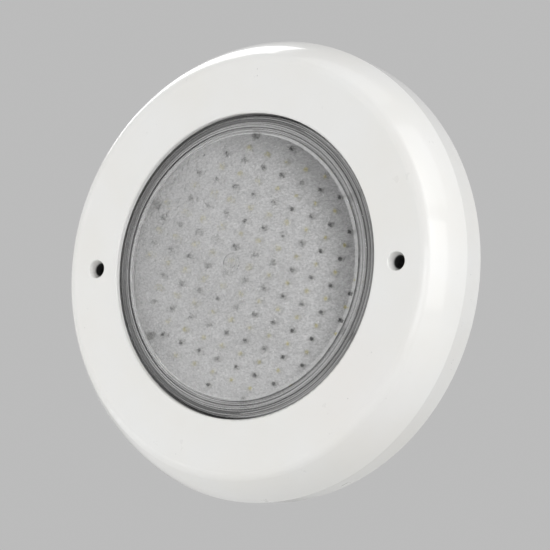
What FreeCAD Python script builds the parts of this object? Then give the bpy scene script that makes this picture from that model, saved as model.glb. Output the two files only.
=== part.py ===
"""Underwater pool light: a surface-mounted white face ring around a sealed, flat LED lamp unit.

Frame: the wall is the plane y = 0, the light faces -Y, +Z is up and the lamp's axis is the Y axis.
Sizes are millimetres. A "level" is a distance in front of the wall, so a level L lies at y = -L.
A "reach" is a distance behind the wall, so a reach D lies at y = +D.
"""
import FreeCAD, Part
import math
import os
import re
import Sketcher
from FreeCAD import Placement, Rotation, Vector

doc = FreeCAD.newDocument("PoolLight")
sheet = doc.addObject("Spreadsheet::Sheet", "Sizes")

SIZES = [
    # How features meet
    ("overlap", 0.5, "how far joined features reach into each other"),
    ("clear_cut", 1.0, "how far a cut runs past the surface that it starts from"),
    ("hair", 0.01, "least gap that keeps two faces from falling together"),
    # Face ring, the white moulding that covers the lamp unit and stands on the wall
    ("ring_radius", 145.0, "largest radius, at the crease between rim and side wall"),
    ("ring_back_radius", 144.2, "outside radius at the wall"),
    ("ring_back_inner", 141.0, "inside radius of the side wall at the wall"),
    ("ring_crease_inner", 141.3, "inside radius of the side wall under the crease"),
    ("crease_level", 17.7, "front end of the side wall"),
    ("crease_under", 17.0, "front end of the side wall, inside"),
    ("shoulder_radius", 130.6, "where the flat front meets the sloping rim"),
    ("shoulder_inner", 128.9, "the same corner on the inside"),
    ("rim_curve", 65.0, "radius of the rim's slight crown"),
    ("rim_curve_inner", 62.0, "radius of the crown on the inside"),
    ("shoulder_round", 8.0, "soft edge between flat front and rim"),
    ("crease_round", 1.0, "soft edge between rim and side wall"),
    ("lip_round", 1.3, "soft edge round the lens opening"),
    ("opening_radius", 95.25, "lens opening"),
    ("face_level", 43.3, "flat front of the ring"),
    ("face_under", 39.5, "underside of the flat front"),
    ("collar_inner", 116.0, "inside of the stiffening collar"),
    ("collar_outer", 118.5, "outside of the stiffening collar"),
    ("collar_level", 4.0, "end of the collar, just clear of the wall"),
    ("rib_count", 16, "radial ribs between collar and side wall"),
    ("rib_thickness", 2.0, "thickness of each rib"),
    ("rib_level", 3.0, "end of the ribs, just clear of the wall"),
    ("rib_outer", 142.5, "rib's outer end, inside the side wall"),
    ("rib_shoulder", 130.0, "rib's front outer corner"),
    ("rib_front", 41.0, "front end of the rib, inside the flat front"),
    # Two holes for the wall screws
    ("wall_screw_count", 2, "holes for the wall screws"),
    ("wall_screw_offset", 111.0, "each hole's distance from the lamp's axis"),
    ("wall_hole_radius", 3.25, "clearance hole for a five millimetre screw"),
    ("funnel_mouth", 5.7, "funnel radius at the front"),
    ("funnel_edge", 6.2, "outer radius of the mouth's soft edge"),
    ("funnel_edge_depth", 0.5, "depth of the mouth's soft edge"),
    ("funnel_neck", 3.6, "funnel radius at its bottom"),
    ("funnel_depth", 7.5, "depth of the funnel"),
    ("funnel_foot", 0.6, "height of the bevel between funnel and hole"),
    ("tube_radius", 6.0, "outside of the screw tube"),
    ("tube_head_radius", 7.6, "outside of the screw tube round the funnel"),
    ("tube_head_level", 33.0, "where the tube widens for the funnel"),
    # Six screws that hold the lamp unit in the ring, driven from behind
    ("body_screw_offset", 109.0, "distance of each screw from the axis"),
    ("body_screw_count", 6, "screws between lamp body and ring"),
    ("boss_radius", 4.2, "screw boss under the flat front"),
    ("boss_pilot", 1.35, "pilot hole in the boss"),
    ("boss_pilot_level", 38.6, "front end of the pilot hole"),
    ("body_screw_shank", 1.25, "screw radius"),
    ("body_screw_tip", 38.2, "front end of the screw"),
    ("lug_hole", 1.7, "clearance hole in the lug"),
    ("lug_radius", 4.6, "half width of each lug"),
    # Lens, a clear dome with a stepped rim and a clamped flange
    ("lens_apex", 53.15, "front of the dome"),
    ("lens_inner_apex", 49.95, "inside of the dome on the axis"),
    ("gate_radius", 2.9, "moulding gate mark on the apex"),
    ("gate_level", 53.35, "front of the gate mark"),
    ("gate_foot", 53.13, "where the gate mark meets the dome"),
    ("gate_bevel", 0.2, "bevel at the edge of the gate mark"),
    ("dome_radius", 83.6, "edge of the dome"),
    ("dome_edge_level", 42.0, "level of the dome's edge"),
    ("dome_curve", 319.0, "radius of the dome's outside"),
    ("dome_curve_inner", 316.0, "radius of the dome's inside"),
    ("dome_inner_radius", 82.6, "edge of the dome's inside"),
    ("dome_inner_edge", 38.9, "level of that edge"),
    ("groove_foot", 84.2, "groove round the dome, inner foot"),
    ("groove_level", 40.3, "bottom of the groove"),
    ("groove_outer", 86.1, "groove round the dome, outer foot"),
    ("land_inner", 86.7, "inner edge of the rim's wide step"),
    ("land_level", 41.3, "top of the wide step"),
    ("land_outer", 88.9, "outer edge of the wide step"),
    ("bead_groove", 89.4, "groove between the steps, inner foot"),
    ("bead_groove_level", 39.9, "bottom of that groove"),
    ("bead_groove_outer", 90.2, "groove between the steps, outer foot"),
    ("bead_inner", 90.7, "inner edge of the rim's narrow step"),
    ("bead_level", 40.7, "top of the narrow step"),
    ("bead_outer", 92.2, "outer edge of the narrow step"),
    ("lens_rim_radius", 93.7, "outside of the rim"),
    ("lens_rim_level", 39.3, "front corner of the rim's outside"),
    ("lens_rim_inner", 87.4, "inside of the rim"),
    ("lens_rim_under", 37.0, "underside of the rim between dome and skirt"),
    ("flange_radius", 102.5, "outside of the clamped flange, gasket and ring"),
    ("lens_flange_level", 36.8, "front of the lens flange"),
    ("gasket_level", 34.3, "front of the gasket, back of the lens flange"),
    ("gasket_inner", 91.0, "inside of the gasket"),
    ("clamp_level", 38.8, "front of the clamp ring"),
    ("clamp_inner", 95.9, "inside of the clamp ring"),
    ("clamp_offset", 98.6, "distance of each clamp screw from the axis"),
    ("clamp_count", 12, "clamp screws"),
    ("clamp_hole", 1.7, "clearance hole of a clamp screw"),
    ("clamp_shank", 1.45, "clamp screw radius"),
    ("clamp_head", 2.85, "countersunk head radius"),
    ("clamp_head_seat", 3.0, "countersink radius"),
    ("clamp_head_depth", 1.5, "countersunk head height"),
    ("clamp_tip", 27.0, "back end of the clamp screw"),
    ("clamp_recess", 0.5, "depth of its driver recess"),
    ("clamp_recess_radius", 0.6, "radius of its driver recess"),
    ("insert_radius", 2.2, "outside of the brass insert"),
    ("insert_bore", 1.5, "bore of the brass insert"),
    ("insert_back", 27.0, "back end of the insert"),
    ("insert_boss", 3.8, "boss round each insert"),
    ("insert_boss_back", 24.0, "back end of that boss"),
    ("insert_hole_back", 26.2, "bottom of the insert's hole"),
    # Lamp body, the white cup behind the lens
    ("flange_level", 32.8, "front of the body flange, back of the gasket"),
    ("flange_under", 29.3, "back of the body flange"),
    ("body_flange_radius", 103.0, "outside of the body flange"),
    ("body_inner", 87.5, "inside of the cup"),
    ("body_outer", 90.5, "outside of the cup"),
    ("floor_front", 9.5, "front of the cup's floor"),
    ("floor_back", 6.0, "back of the cup's floor"),
    ("floor_round", 4.0, "soft corner at the back of the cup"),
    ("gland_pad_radius", 16.0, "thick pad round the cable gland"),
    ("gland_pad_level", 11.5, "front of that pad"),
    ("gland_hole", 8.15, "hole for the cable gland"),
    ("back_rib_count", 8, "ribs across the back of the floor"),
    ("back_rib_inner", 20.0, "inner end of a back rib"),
    ("back_rib_outer", 84.0, "outer end of a back rib"),
    ("back_rib_level", 3.5, "back of a back rib"),
    ("back_rib_slope", 3.0, "length of the slope at its outer end"),
    ("back_ring_inner", 18.0, "inside of the ring round the gland"),
    ("back_ring_outer", 20.5, "outside of the ring round the gland"),
    # LED board and its LEDs
    ("led_board_radius", 86.8, "outside of the LED board"),
    ("led_board_level", 30.5, "front of the LED board"),
    ("led_board_back", 28.9, "back of the LED board"),
    ("board_screw_offset", 83.0, "distance of each board screw from the axis"),
    ("board_screw_count", 6, "LED board screws"),
    ("board_post", 4.8, "post under each board screw"),
    ("board_pilot", 1.3, "pilot hole in the post"),
    ("board_pilot_back", 20.0, "bottom of the pilot hole"),
    ("board_hole", 1.6, "hole in the LED board"),
    ("board_screw_tip", 21.0, "back end of the board screw"),
    ("screw_shank", 1.2, "board screw radius"),
    ("pan_head", 2.6, "pan head radius"),
    ("pan_height", 2.0, "pan head height"),
    ("pan_round", 0.9, "crown at the edge of a pan head"),
    ("recess_radius", 0.7, "driver recess in a pan head"),
    ("recess_floor", 1.0, "edge of the recess floor, above the head's seat"),
    ("recess_tip", 0.7, "middle of the recess floor, above the head's seat"),
    ("led_row_pitch", 15.0, "LED spacing along a row"),
    ("led_column_pitch", 17.2, "spacing of equal LEDs across the rows"),
    ("led_tilt", -20.0, "angle of the rows to the horizontal, in degrees"),
    ("led_reach", 77.6, "no LED lies further from the axis"),
    ("led_length", 3.5, "LED package length"),
    ("led_width", 2.8, "LED package width"),
    ("led_height", 1.4, "LED package height"),
    ("led_window", 1.15, "radius of the light-emitting window"),
    ("led_window_depth", 0.4, "depth of the cup under the window"),
    # Driver board and what it carries
    ("driver_width", 100.0, "driver board width"),
    ("driver_low", 16.0, "lower edge above the axis"),
    ("driver_high", 60.0, "upper edge above the axis"),
    ("driver_back", 15.5, "back of the driver board"),
    ("driver_front", 17.1, "front of the driver board"),
    ("driver_post", 3.5, "post under each corner of the driver board"),
    ("driver_post_x", 44.0, "driver screw's distance from the middle"),
    ("driver_post_low", 21.0, "lower driver screws above the axis"),
    ("driver_post_high", 55.0, "upper driver screws above the axis"),
    ("driver_pilot_back", 10.2, "bottom of the driver pilot holes"),
    ("driver_screw_tip", 10.8, "back end of the driver screws"),
    ("coil_x", -12.0, "inductor, left of the middle"),
    ("coil_z", 44.0, "inductor above the axis"),
    ("coil_flange", 6.5, "inductor flange radius"),
    ("coil_waist", 3.0, "inductor core radius"),
    ("coil_wire", 5.8, "outside of the winding"),
    ("coil_height", 9.5, "inductor height"),
    ("coil_flange_thickness", 1.4, "inductor flange thickness"),
    ("winding_gap", 0.1, "gap between winding and flanges"),
    ("can_radius", 5.0, "capacitor radius"),
    ("can_height", 10.5, "capacitor height"),
    ("can_z", 48.0, "capacitors above the axis"),
    ("can_x", 12.0, "first capacitor, right of the middle"),
    ("can_pitch", 13.0, "spacing of the capacitors"),
    ("rectifier_width", 15.0, "rectifier width"),
    ("rectifier_height", 11.0, "rectifier height above the board"),
    ("rectifier_thickness", 4.0, "rectifier thickness"),
    ("rectifier_x", -40.0, "left face of the rectifier"),
    ("rectifier_z", 36.0, "lower face of the rectifier"),
    ("rectifier_corner", 2.0, "bevelled corner of the rectifier"),
    ("chip_length", 5.0, "controller length"),
    ("chip_width", 4.0, "controller width"),
    ("chip_height", 1.6, "controller height"),
    ("chip_x", 16.0, "left face of the controller"),
    ("chip_z", 31.0, "lower face of the controller"),
    ("chip_lift", 0.1, "gap under the controller"),
    ("leg_pitch", 1.2, "spacing of the controller's legs"),
    ("leg_inset", 0.4, "first leg's distance from the end"),
    ("leg_width", 0.5, "leg width"),
    ("leg_height", 0.4, "leg height"),
    ("leg_reach", 1.0, "how far a leg stands out on each side"),
    ("terminal_width", 10.4, "terminal block width"),
    ("terminal_depth", 8.0, "terminal block depth along the board"),
    ("terminal_height", 10.0, "terminal block height above the board"),
    ("terminal_pitch", 5.0, "spacing of its two ways"),
    ("terminal_low", 17.5, "lower face of the terminal block"),
    ("terminal_well", 1.9, "radius of the screw wells"),
    ("terminal_well_depth", 7.0, "depth of the screw wells"),
    ("terminal_entry", 1.4, "radius of the wire entries"),
    ("terminal_entry_level", 19.6, "level of the wire entries"),
    ("terminal_entry_depth", 4.8, "length of the wire entries"),
    ("terminal_screw", 1.7, "radius of a terminal screw"),
    ("terminal_screw_length", 4.2, "length of a terminal screw"),
    ("slot_width", 0.6, "width of its slot"),
    ("slot_depth", 0.7, "depth of its slot"),
    ("plug_x", 30.0, "LED lead connector, right of the middle"),
    ("plug_top", -5.0, "upper face of the connector"),
    ("plug_width", 9.0, "connector width"),
    ("plug_length", 8.0, "connector length down the board"),
    ("plug_height", 6.5, "connector height off the board"),
    ("plug_wall", 1.0, "connector wall"),
    ("plug_well", 4.0, "depth of the connector's opening"),
    ("lead_radius", 0.9, "radius of each internal lead"),
    ("lead_pitch", 3.0, "spacing of the two leads"),
    ("lead_start_z", 22.0, "leads' solder points above the axis"),
    ("lead_bend", 4.0, "bend radius of the leads"),
    ("lead_end", 3.0, "how far the leads reach into the connector"),
    ("lead_level", 25.6, "level at which the leads enter the connector"),
    # Cable gland, in the middle of the back; thread pitch 1.5
    ("gland_thread", 8.0, "outside radius of the gland's threads"),
    ("gland_flats", 22.0, "gland's width across flats"),
    ("gland_inner_end", 17.6, "level of the thread's inner end"),
    ("gland_hex_back", 1.0, "level of the hexagon's back face"),
    ("gland_thread_reach", 11.0, "reach of the thread's outer end"),
    ("thread_lead", 0.8, "length of the bevel at a thread's end"),
    ("thread_depth", 0.6, "depth of that bevel"),
    ("gland_bore", 4.6, "cable way through the gland"),
    ("gland_pocket", 6.25, "pocket for the seal"),
    ("gland_pocket_level", 2.0, "bottom of the pocket"),
    ("ring_groove_inner", 8.4, "sealing ring's groove, inside"),
    ("ring_groove_outer", 10.2, "sealing ring's groove, outside"),
    ("ring_groove_level", 4.6, "bottom of the sealing ring's groove"),
    ("ring_middle", 9.3, "sealing ring's mean radius"),
    ("ring_section", 0.68, "sealing ring's section radius"),
    ("lock_nut_front", 16.0, "front of the lock nut"),
    ("lock_nut_bore", 8.08, "bore of the lock nut"),
    ("nut_chamfer", 0.9, "height of the corner chamfers"),
    ("nut_chamfer_radius", 11.2, "where the corner chamfers end"),
    ("seal_radius", 6.1, "outside of the rubber seal"),
    ("seal_bore", 3.75, "hole for a seven to eight millimetre cable"),
    ("seal_level", 1.8, "inner end of the seal"),
    ("seal_reach", 6.2, "outer end of the seal"),
    ("seal_bevel", 1.0, "bevel at that end"),
    ("cage_radius", 5.9, "outside of the clamping cage"),
    ("cage_bore", 4.1, "inside of the cage"),
    ("cage_start", 6.4, "inner end of the cage"),
    ("cage_taper", 12.0, "where the fingers start to taper"),
    ("cage_tip", 16.2, "outer end of the fingers"),
    ("cage_tip_radius", 4.95, "outside of the finger tips"),
    ("cage_slot", 0.9, "width of the slots between fingers"),
    ("cage_slot_start", 8.2, "inner end of the slots"),
    ("cage_slot_count", 8, "slots"),
    ("nut_start", 1.0, "inner end of the gland nut"),
    ("nut_hex_end", 11.0, "end of the nut's hexagon"),
    ("nut_end", 19.5, "outer end of the gland nut"),
    ("nut_bore", 8.08, "bore over the thread"),
    ("nut_bore_end", 12.0, "end of that bore"),
    ("nut_cone", 6.4, "wide end of the clamping cone"),
    ("nut_cone_end", 17.4, "narrow end of the clamping cone"),
    ("nut_mouth", 4.8, "cable mouth"),
    ("nut_mouth_edge", 5.6, "flare at the cable mouth"),
    ("nut_flare", 1.0, "length of the flare"),
    ("nut_dome", 10.6, "dome radius behind the hexagon"),
    ("nut_dome_tip", 7.4, "dome radius at the mouth"),
    ("nut_dome_curve", 9.5, "curve of the dome"),
]

for row, (alias, value, note) in enumerate(SIZES, start=1):
    sheet.set("A%d" % row, alias)
    sheet.set("B%d" % row, str(value))
    sheet.set("C%d" % row, note)
    sheet.setAlias("B%d" % row, alias)
doc.recompute()

HEX_CORNER = "0.57735027"        # corner radius of a hexagon over its width across flats
LEAST_CUT = 0.01                 # volume that every cut has to remove, in cubic millimetres


# ---------------------------------------------------------------- sizes as text and as numbers

def size(alias):
    """Value of a named cell of the sheet."""
    return float(getattr(sheet, alias))


def number(text):
    """Number that a sum of products of named sizes stands for, such as "flange_level - 2 * gap"."""
    total = 0.0
    for term in text.replace(" - ", " + -").split(" + "):
        product = -1.0 if term.startswith("-") else 1.0
        for factor in term.lstrip("-").split(" * "):
            product *= size(factor) if factor[0].isalpha() else float(factor)
        total += product
    return total


def cell(text):
    """The same sum written as an expression on the sheet."""
    return re.sub(r"[a-z_]{2,}", lambda found: "Sizes." + found.group(0), text)


def minus(text):
    """The same sum, whose first term is positive, with every sign turned round."""
    return "-" + text.replace(" - ", " ~ ").replace(" + ", " - ").replace(" ~ ", " + ")


def bind(thing, field, text):
    """Tie a property to the sheet."""
    thing.setExpression(field, cell(text))


# ---------------------------------------------------------------- sketches

def origin_item(body, role):
    """One of the body's own origin planes or axes."""
    return next(item for item in body.Origin.OriginFeatures if item.Role == role)


def sketch_on(body, name, role, level=None):
    """Sketch on an origin plane; on XZ_Plane a level moves it that far in front of the wall."""
    sketch = body.newObject("Sketcher::SketchObject", name)
    sketch.AttachmentSupport = [(origin_item(body, role), "")]
    sketch.MapMode = "FlatFace"
    if level is not None:
        bind(sketch, "AttachmentOffset.Base.z", level)
    return sketch


def dimension(sketch, kind, item, point, text):
    """Distance from the sketch's origin, or a radius, tied to the sheet."""
    if kind == "Radius":
        index = sketch.addConstraint(Sketcher.Constraint(kind, item, number(text)))
    else:
        index = sketch.addConstraint(Sketcher.Constraint(kind, -1, 1, item, point, number(text)))
    if re.search("[a-z]", text):
        bind(sketch, "Constraints[%d]" % index, text)


def arc_between(here, there, radius, bulge):
    """Arc from here to there; it bulges to the left of the way for +1, to the right for -1."""
    half = (there - here) * 0.5
    side = Vector(-half.y, half.x, 0).normalize()
    centre = here + half - side * (bulge * math.sqrt(radius ** 2 - half.Length ** 2))
    first, last = (there, here) if bulge > 0 else (here, there)
    start = math.atan2(first.y - centre.y, first.x - centre.x)
    end = math.atan2(last.y - centre.y, last.x - centre.x)
    return Part.ArcOfCircle(Part.Circle(centre, Vector(0, 0, 1), radius), start, end)


def outline(sketch, corners):
    """Closed outline. A corner is (x, y), or (x, y, radius, bulge) when an arc leads on from it."""
    points = [Vector(number(corner[0]), number(corner[1]), 0) for corner in corners]
    ends = []
    for index, corner in enumerate(corners):
        here = points[index]
        there = points[(index + 1) % len(points)]
        if len(corner) == 2:
            item = sketch.addGeometry(Part.LineSegment(here, there), False)
            ends.append((item, 1, 2))
        else:
            item = sketch.addGeometry(arc_between(here, there, number(corner[2]), corner[3]), False)
            ends.append((item, 2, 1) if corner[3] > 0 else (item, 1, 2))
    for index, (item, _, end) in enumerate(ends):
        follower, follower_start, _ = ends[(index + 1) % len(ends)]
        sketch.addConstraint(Sketcher.Constraint("Coincident", item, end, follower, follower_start))
    for corner, (item, start, _) in zip(corners, ends):
        dimension(sketch, "DistanceX", item, start, corner[0])
        dimension(sketch, "DistanceY", item, start, corner[1])
        if len(corner) == 4:
            dimension(sketch, "Radius", item, 0, corner[2])


def circle(sketch, x, y, radius):
    """Circle with its centre and radius tied to the sheet."""
    centre = Vector(number(x), number(y), 0)
    item = sketch.addGeometry(Part.Circle(centre, Vector(0, 0, 1), number(radius)))
    dimension(sketch, "DistanceX", item, 3, x)
    dimension(sketch, "DistanceY", item, 3, y)
    dimension(sketch, "Radius", item, 0, radius)


def hexagon(sketch, flats):
    """Hexagon round the axis, with its flats above and below."""
    corner = flats + " * " + HEX_CORNER
    half = flats + " * 0.5"
    outline(sketch, [(corner, "0"), (corner + " * 0.5", half), ("-" + corner + " * 0.5", half),
                     ("-" + corner, "0"), ("-" + corner + " * 0.5", "-" + half),
                     (corner + " * 0.5", "-" + half)])


# ---------------------------------------------------------------- features

def new_body(name):
    """Empty body whose label names the piece."""
    body = doc.addObject("PartDesign::Body", name)
    body.Label = name
    return body


def turned(body, name, corners, kind="Revolution"):
    """Ring turned round the lamp's axis from an outline of (radius, y) corners."""
    sketch = sketch_on(body, name + "_outline", "XY_Plane")
    outline(sketch, corners)
    feature = body.newObject("PartDesign::" + kind, name)
    feature.Profile = sketch
    feature.ReferenceAxis = (sketch, ["V_Axis"])
    feature.Angle = 360
    doc.recompute()
    return feature


def turned_beside(body, name, x, corners, kind="Revolution"):
    """The same round an axis parallel to the lamp's, at x; corner radii are added to x."""
    sketch = sketch_on(body, name + "_outline", "XY_Plane")
    outline(sketch, [(x + " + " + corner[0],) + tuple(corner[1:]) for corner in corners])
    line = Part.LineSegment(Vector(number(x), 0, 0), Vector(number(x), -1, 0))
    item = sketch.addGeometry(line, True)
    dimension(sketch, "DistanceX", item, 1, x)
    dimension(sketch, "DistanceY", item, 1, "0")
    dimension(sketch, "DistanceX", item, 2, x)
    dimension(sketch, "DistanceY", item, 2, "-1")
    feature = body.newObject("PartDesign::" + kind, name)
    feature.Profile = sketch
    feature.ReferenceAxis = (sketch, ["Axis0"])
    feature.Angle = 360
    doc.recompute()
    return feature


def raised(body, name, level, length, draw):
    """Pad towards the front from a level; draw fills its sketch."""
    sketch = sketch_on(body, name + "_outline", "XZ_Plane", level)
    draw(sketch)
    feature = body.newObject("PartDesign::Pad", name)
    feature.Profile = sketch
    bind(feature, "Length", length)
    doc.recompute()
    return feature


def sunk(body, name, level, depth, draw):
    """Pocket towards the wall from a level; the body has to lose volume."""
    before = body.Shape.Volume
    sketch = sketch_on(body, name + "_outline", "XZ_Plane", level)
    draw(sketch)
    feature = body.newObject("PartDesign::Pocket", name)
    feature.Profile = sketch
    bind(feature, "Length", depth)
    doc.recompute()
    if body.Shape.Volume > before - LEAST_CUT:
        raise RuntimeError(name + " cuts nothing")
    return feature


def around(body, name, features, count):
    """Repeat features evenly round the lamp's axis."""
    pattern = body.newObject("PartDesign::PolarPattern", name)
    pattern.Originals = features
    pattern.Axis = (origin_item(body, "Y_Axis"), [""])
    pattern.Angle = 360
    bind(pattern, "Occurrences", count)
    body.Tip = pattern
    doc.recompute()
    return pattern


def round_edge(body, name, radius, level, blend):
    """Round the circular edge that has this radius and level."""
    wanted = [number(radius), -number(level)]
    edges = []
    for index, edge in enumerate(body.Shape.Edges, start=1):
        if isinstance(edge.Curve, Part.Circle) and len(edge.Vertexes) == 1:
            found = [edge.Curve.Radius, edge.Curve.Center.y]
            if max(abs(a - b) for a, b in zip(wanted, found)) < 0.01:
                edges.append("Edge%d" % index)
    if not edges:
        raise RuntimeError(name + " finds no edge")
    base = body.Tip
    fillet = body.newObject("PartDesign::Fillet", name)
    fillet.Base = (base, edges)
    bind(fillet, "Radius", blend)
    body.Tip = fillet
    doc.recompute()
    return fillet


def plate(name, x, z, width, height, level, thickness):
    """Block on the driver board or LED board: left and lower edge, size, and back level."""
    block = doc.addObject("Part::Box", name)
    for field, text in (("Length", width), ("Width", thickness), ("Height", height),
                        ("Placement.Base.x", x), ("Placement.Base.z", z),
                        ("Placement.Base.y", minus(level + " + " + thickness))):
        bind(block, field, text)
    return block


def rod(name, x, z, radius, level, length):
    """Round bar that runs towards the front from a level."""
    bar = doc.addObject("Part::Cylinder", name)
    bar.Placement = Placement(Vector(0, 0, 0), Rotation(Vector(1, 0, 0), 90))
    for field, text in (("Radius", radius), ("Height", length), ("Placement.Base.x", x),
                        ("Placement.Base.z", z), ("Placement.Base.y", minus(level))):
        bind(bar, field, text)
    return bar


def joined(kind, name, pieces):
    """Fused pieces, or a group of separate ones."""
    result = doc.addObject(kind, name)
    if kind == "Part::Compound":
        result.Links = pieces
    else:
        result.Shapes = pieces
    result.Label = name
    return result


def cut(name, base, tool):
    """Base without tool."""
    result = doc.addObject("Part::Cut", name)
    result.Base = base
    result.Tool = tool
    result.Label = name
    return result


def drilled(body, name, level, depth, offset, radius, count):
    """Ring of holes cut towards the wall."""
    hole = sunk(body, name, level, depth, lambda sketch: circle(sketch, "0", offset, radius))
    return around(body, name + "_ring", [hole], count)


# ---------------------------------------------------------------- face ring and lens

def face_ring():
    """White moulding: hollow behind, with collar, ribs, two screw tubes and six bosses."""
    body = new_body("face_ring")
    turned(body, "ring_shell", [
        ("opening_radius", "-face_level"), ("shoulder_radius", "-face_level", "rim_curve", -1),
        ("ring_radius", "-crease_level"), ("ring_back_radius", "0"), ("ring_back_inner", "0"),
        ("ring_crease_inner", "-crease_under", "rim_curve_inner", 1),
        ("shoulder_inner", "-face_under"), ("opening_radius", "-face_under")])
    round_edge(body, "shoulder_blend", "shoulder_radius", "face_level", "shoulder_round")
    round_edge(body, "crease_blend", "ring_radius", "crease_level", "crease_round")
    round_edge(body, "lip_blend", "opening_radius", "face_level", "lip_round")
    turned(body, "collar", [
        ("collar_inner", "-face_under - overlap"), ("collar_outer", "-face_under - overlap"),
        ("collar_outer", "-collar_level"), ("collar_inner", "-collar_level")])

    rib_sketch = sketch_on(body, "rib_outline", "XY_Plane")
    outline(rib_sketch, [
        ("collar_outer - overlap", "-rib_level"), ("rib_outer", "-rib_level"),
        ("rib_outer", "-crease_under"), ("rib_shoulder", "-rib_front"),
        ("collar_outer - overlap", "-rib_front")])
    rib = body.newObject("PartDesign::Pad", "rib")
    rib.Profile = rib_sketch
    bind(rib, "Length", "rib_thickness")
    rib.Midplane = True
    doc.recompute()
    around(body, "ribs", [rib], "rib_count")

    def tube_circle(radius):
        return lambda sketch: circle(sketch, "wall_screw_offset", "0", radius)

    tube = raised(body, "tube", "0", "face_under + overlap", tube_circle("tube_radius"))
    head = raised(body, "tube_head", "tube_head_level", "face_under - tube_head_level + overlap",
                  tube_circle("tube_head_radius"))
    around(body, "tubes", [tube, head], "wall_screw_count")
    before = body.Shape.Volume
    funnel = turned_beside(body, "funnel", "wall_screw_offset", [
        ("0", "-face_level - clear_cut"), ("funnel_edge", "-face_level - clear_cut"),
        ("funnel_edge", "-face_level"),
        ("funnel_mouth", "-face_level + funnel_edge_depth"),
        ("funnel_neck", "-face_level + funnel_depth"),
        ("wall_hole_radius", "-face_level + funnel_depth + funnel_foot"),
        ("wall_hole_radius", "clear_cut"), ("0", "clear_cut")], "Groove")
    around(body, "funnels", [funnel], "wall_screw_count")
    if body.Shape.Volume > before - LEAST_CUT:
        raise RuntimeError("the wall screw holes cut nothing")

    boss = raised(body, "boss", "flange_level", "face_under - flange_level + overlap",
                  lambda sketch: circle(sketch, "0", "body_screw_offset", "boss_radius"))
    around(body, "bosses", [boss], "body_screw_count")
    drilled(body, "pilot", "boss_pilot_level", "boss_pilot_level - flange_level + hair",
            "body_screw_offset", "boss_pilot", "body_screw_count")
    return body


def lens():
    """Clear dome with gate mark, two steps round it, skirt and flange with screw holes."""
    body = new_body("lens")
    turned(body, "lens_shell", [
        ("0", "-gate_level"), ("gate_radius - gate_bevel", "-gate_level"),
        ("gate_radius", "-gate_foot", "dome_curve", -1),
        ("dome_radius", "-dome_edge_level"), ("groove_foot", "-groove_level"),
        ("groove_outer", "-groove_level"), ("land_inner", "-land_level"),
        ("land_outer", "-land_level"), ("bead_groove", "-bead_groove_level"),
        ("bead_groove_outer", "-bead_groove_level"), ("bead_inner", "-bead_level"),
        ("bead_outer", "-bead_level"), ("lens_rim_radius", "-lens_rim_level"),
        ("lens_rim_radius", "-lens_flange_level"), ("flange_radius", "-lens_flange_level"),
        ("flange_radius", "-gasket_level"), ("lens_rim_inner", "-gasket_level"),
        ("lens_rim_inner", "-lens_rim_under"), ("dome_radius", "-lens_rim_under"),
        ("dome_inner_radius", "-dome_inner_edge", "dome_curve_inner", 1), ("0", "-lens_inner_apex")])
    drilled(body, "lens_hole", "lens_flange_level + clear_cut",
            "lens_flange_level - gasket_level + 2 * clear_cut", "clamp_offset", "clamp_hole", "clamp_count")
    return body


def flat_ring(name, inner, outer, front, back):
    """Flat ring with the clamp screws' holes."""
    body = new_body(name)
    turned(body, name + "_blank", [(inner, "-" + front), (outer, "-" + front),
                                   (outer, "-" + back), (inner, "-" + back)])
    drilled(body, name + "_hole", front, front + " - " + back, "clamp_offset", "clamp_hole", "clamp_count")
    return body


def lens_clamp_ring():
    """Stainless ring that presses the lens flange down, countersunk for its screws."""
    body = flat_ring("lens_clamp_ring", "clamp_inner", "flange_radius", "clamp_level", "lens_flange_level")
    sink = turned_beside(body, "sink", "clamp_offset", [
        ("0", "-clamp_level"), ("clamp_head_seat", "-clamp_level"),
        ("clamp_hole", "-clamp_level + clamp_head_depth"),
        ("0", "-clamp_level + clamp_head_depth")], "Groove")
    turn_to_screws(body, [sink])
    return body


def turn_to_screws(body, features):
    """Repeat features made on the X axis at each clamp screw."""
    return around(body, features[0].Name + "_ring", features, "clamp_count")


def screw(body, name, corners, offset, count):
    """Group of equal screws round the axis, as separate solids."""
    body.AllowCompound = True
    first = turned_beside(body, name, offset, corners)
    around(body, name + "s", [first], count)
    return body


def lens_clamp_screws():
    """Countersunk screws through clamp ring, lens and gasket into the brass inserts."""
    return screw(new_body("lens_clamp_screws"), "clamp_screw", [
        ("0", "-clamp_level + clamp_recess"), ("clamp_recess_radius", "-clamp_level + clamp_recess"),
        ("clamp_recess_radius", "-clamp_level"),
        ("clamp_head", "-clamp_level"), ("clamp_shank", "-clamp_level + clamp_head_depth"),
        ("clamp_shank", "-clamp_tip"), ("0", "-clamp_tip")], "clamp_offset", "clamp_count")


def lens_screw_inserts():
    """Brass inserts moulded into the body flange."""
    return screw(new_body("lens_screw_inserts"), "insert", [
        ("insert_bore", "-flange_level"), ("insert_radius", "-flange_level"),
        ("insert_radius", "-insert_back"), ("insert_bore", "-insert_back")],
        "clamp_offset", "clamp_count")


# ---------------------------------------------------------------- lamp body

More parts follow.
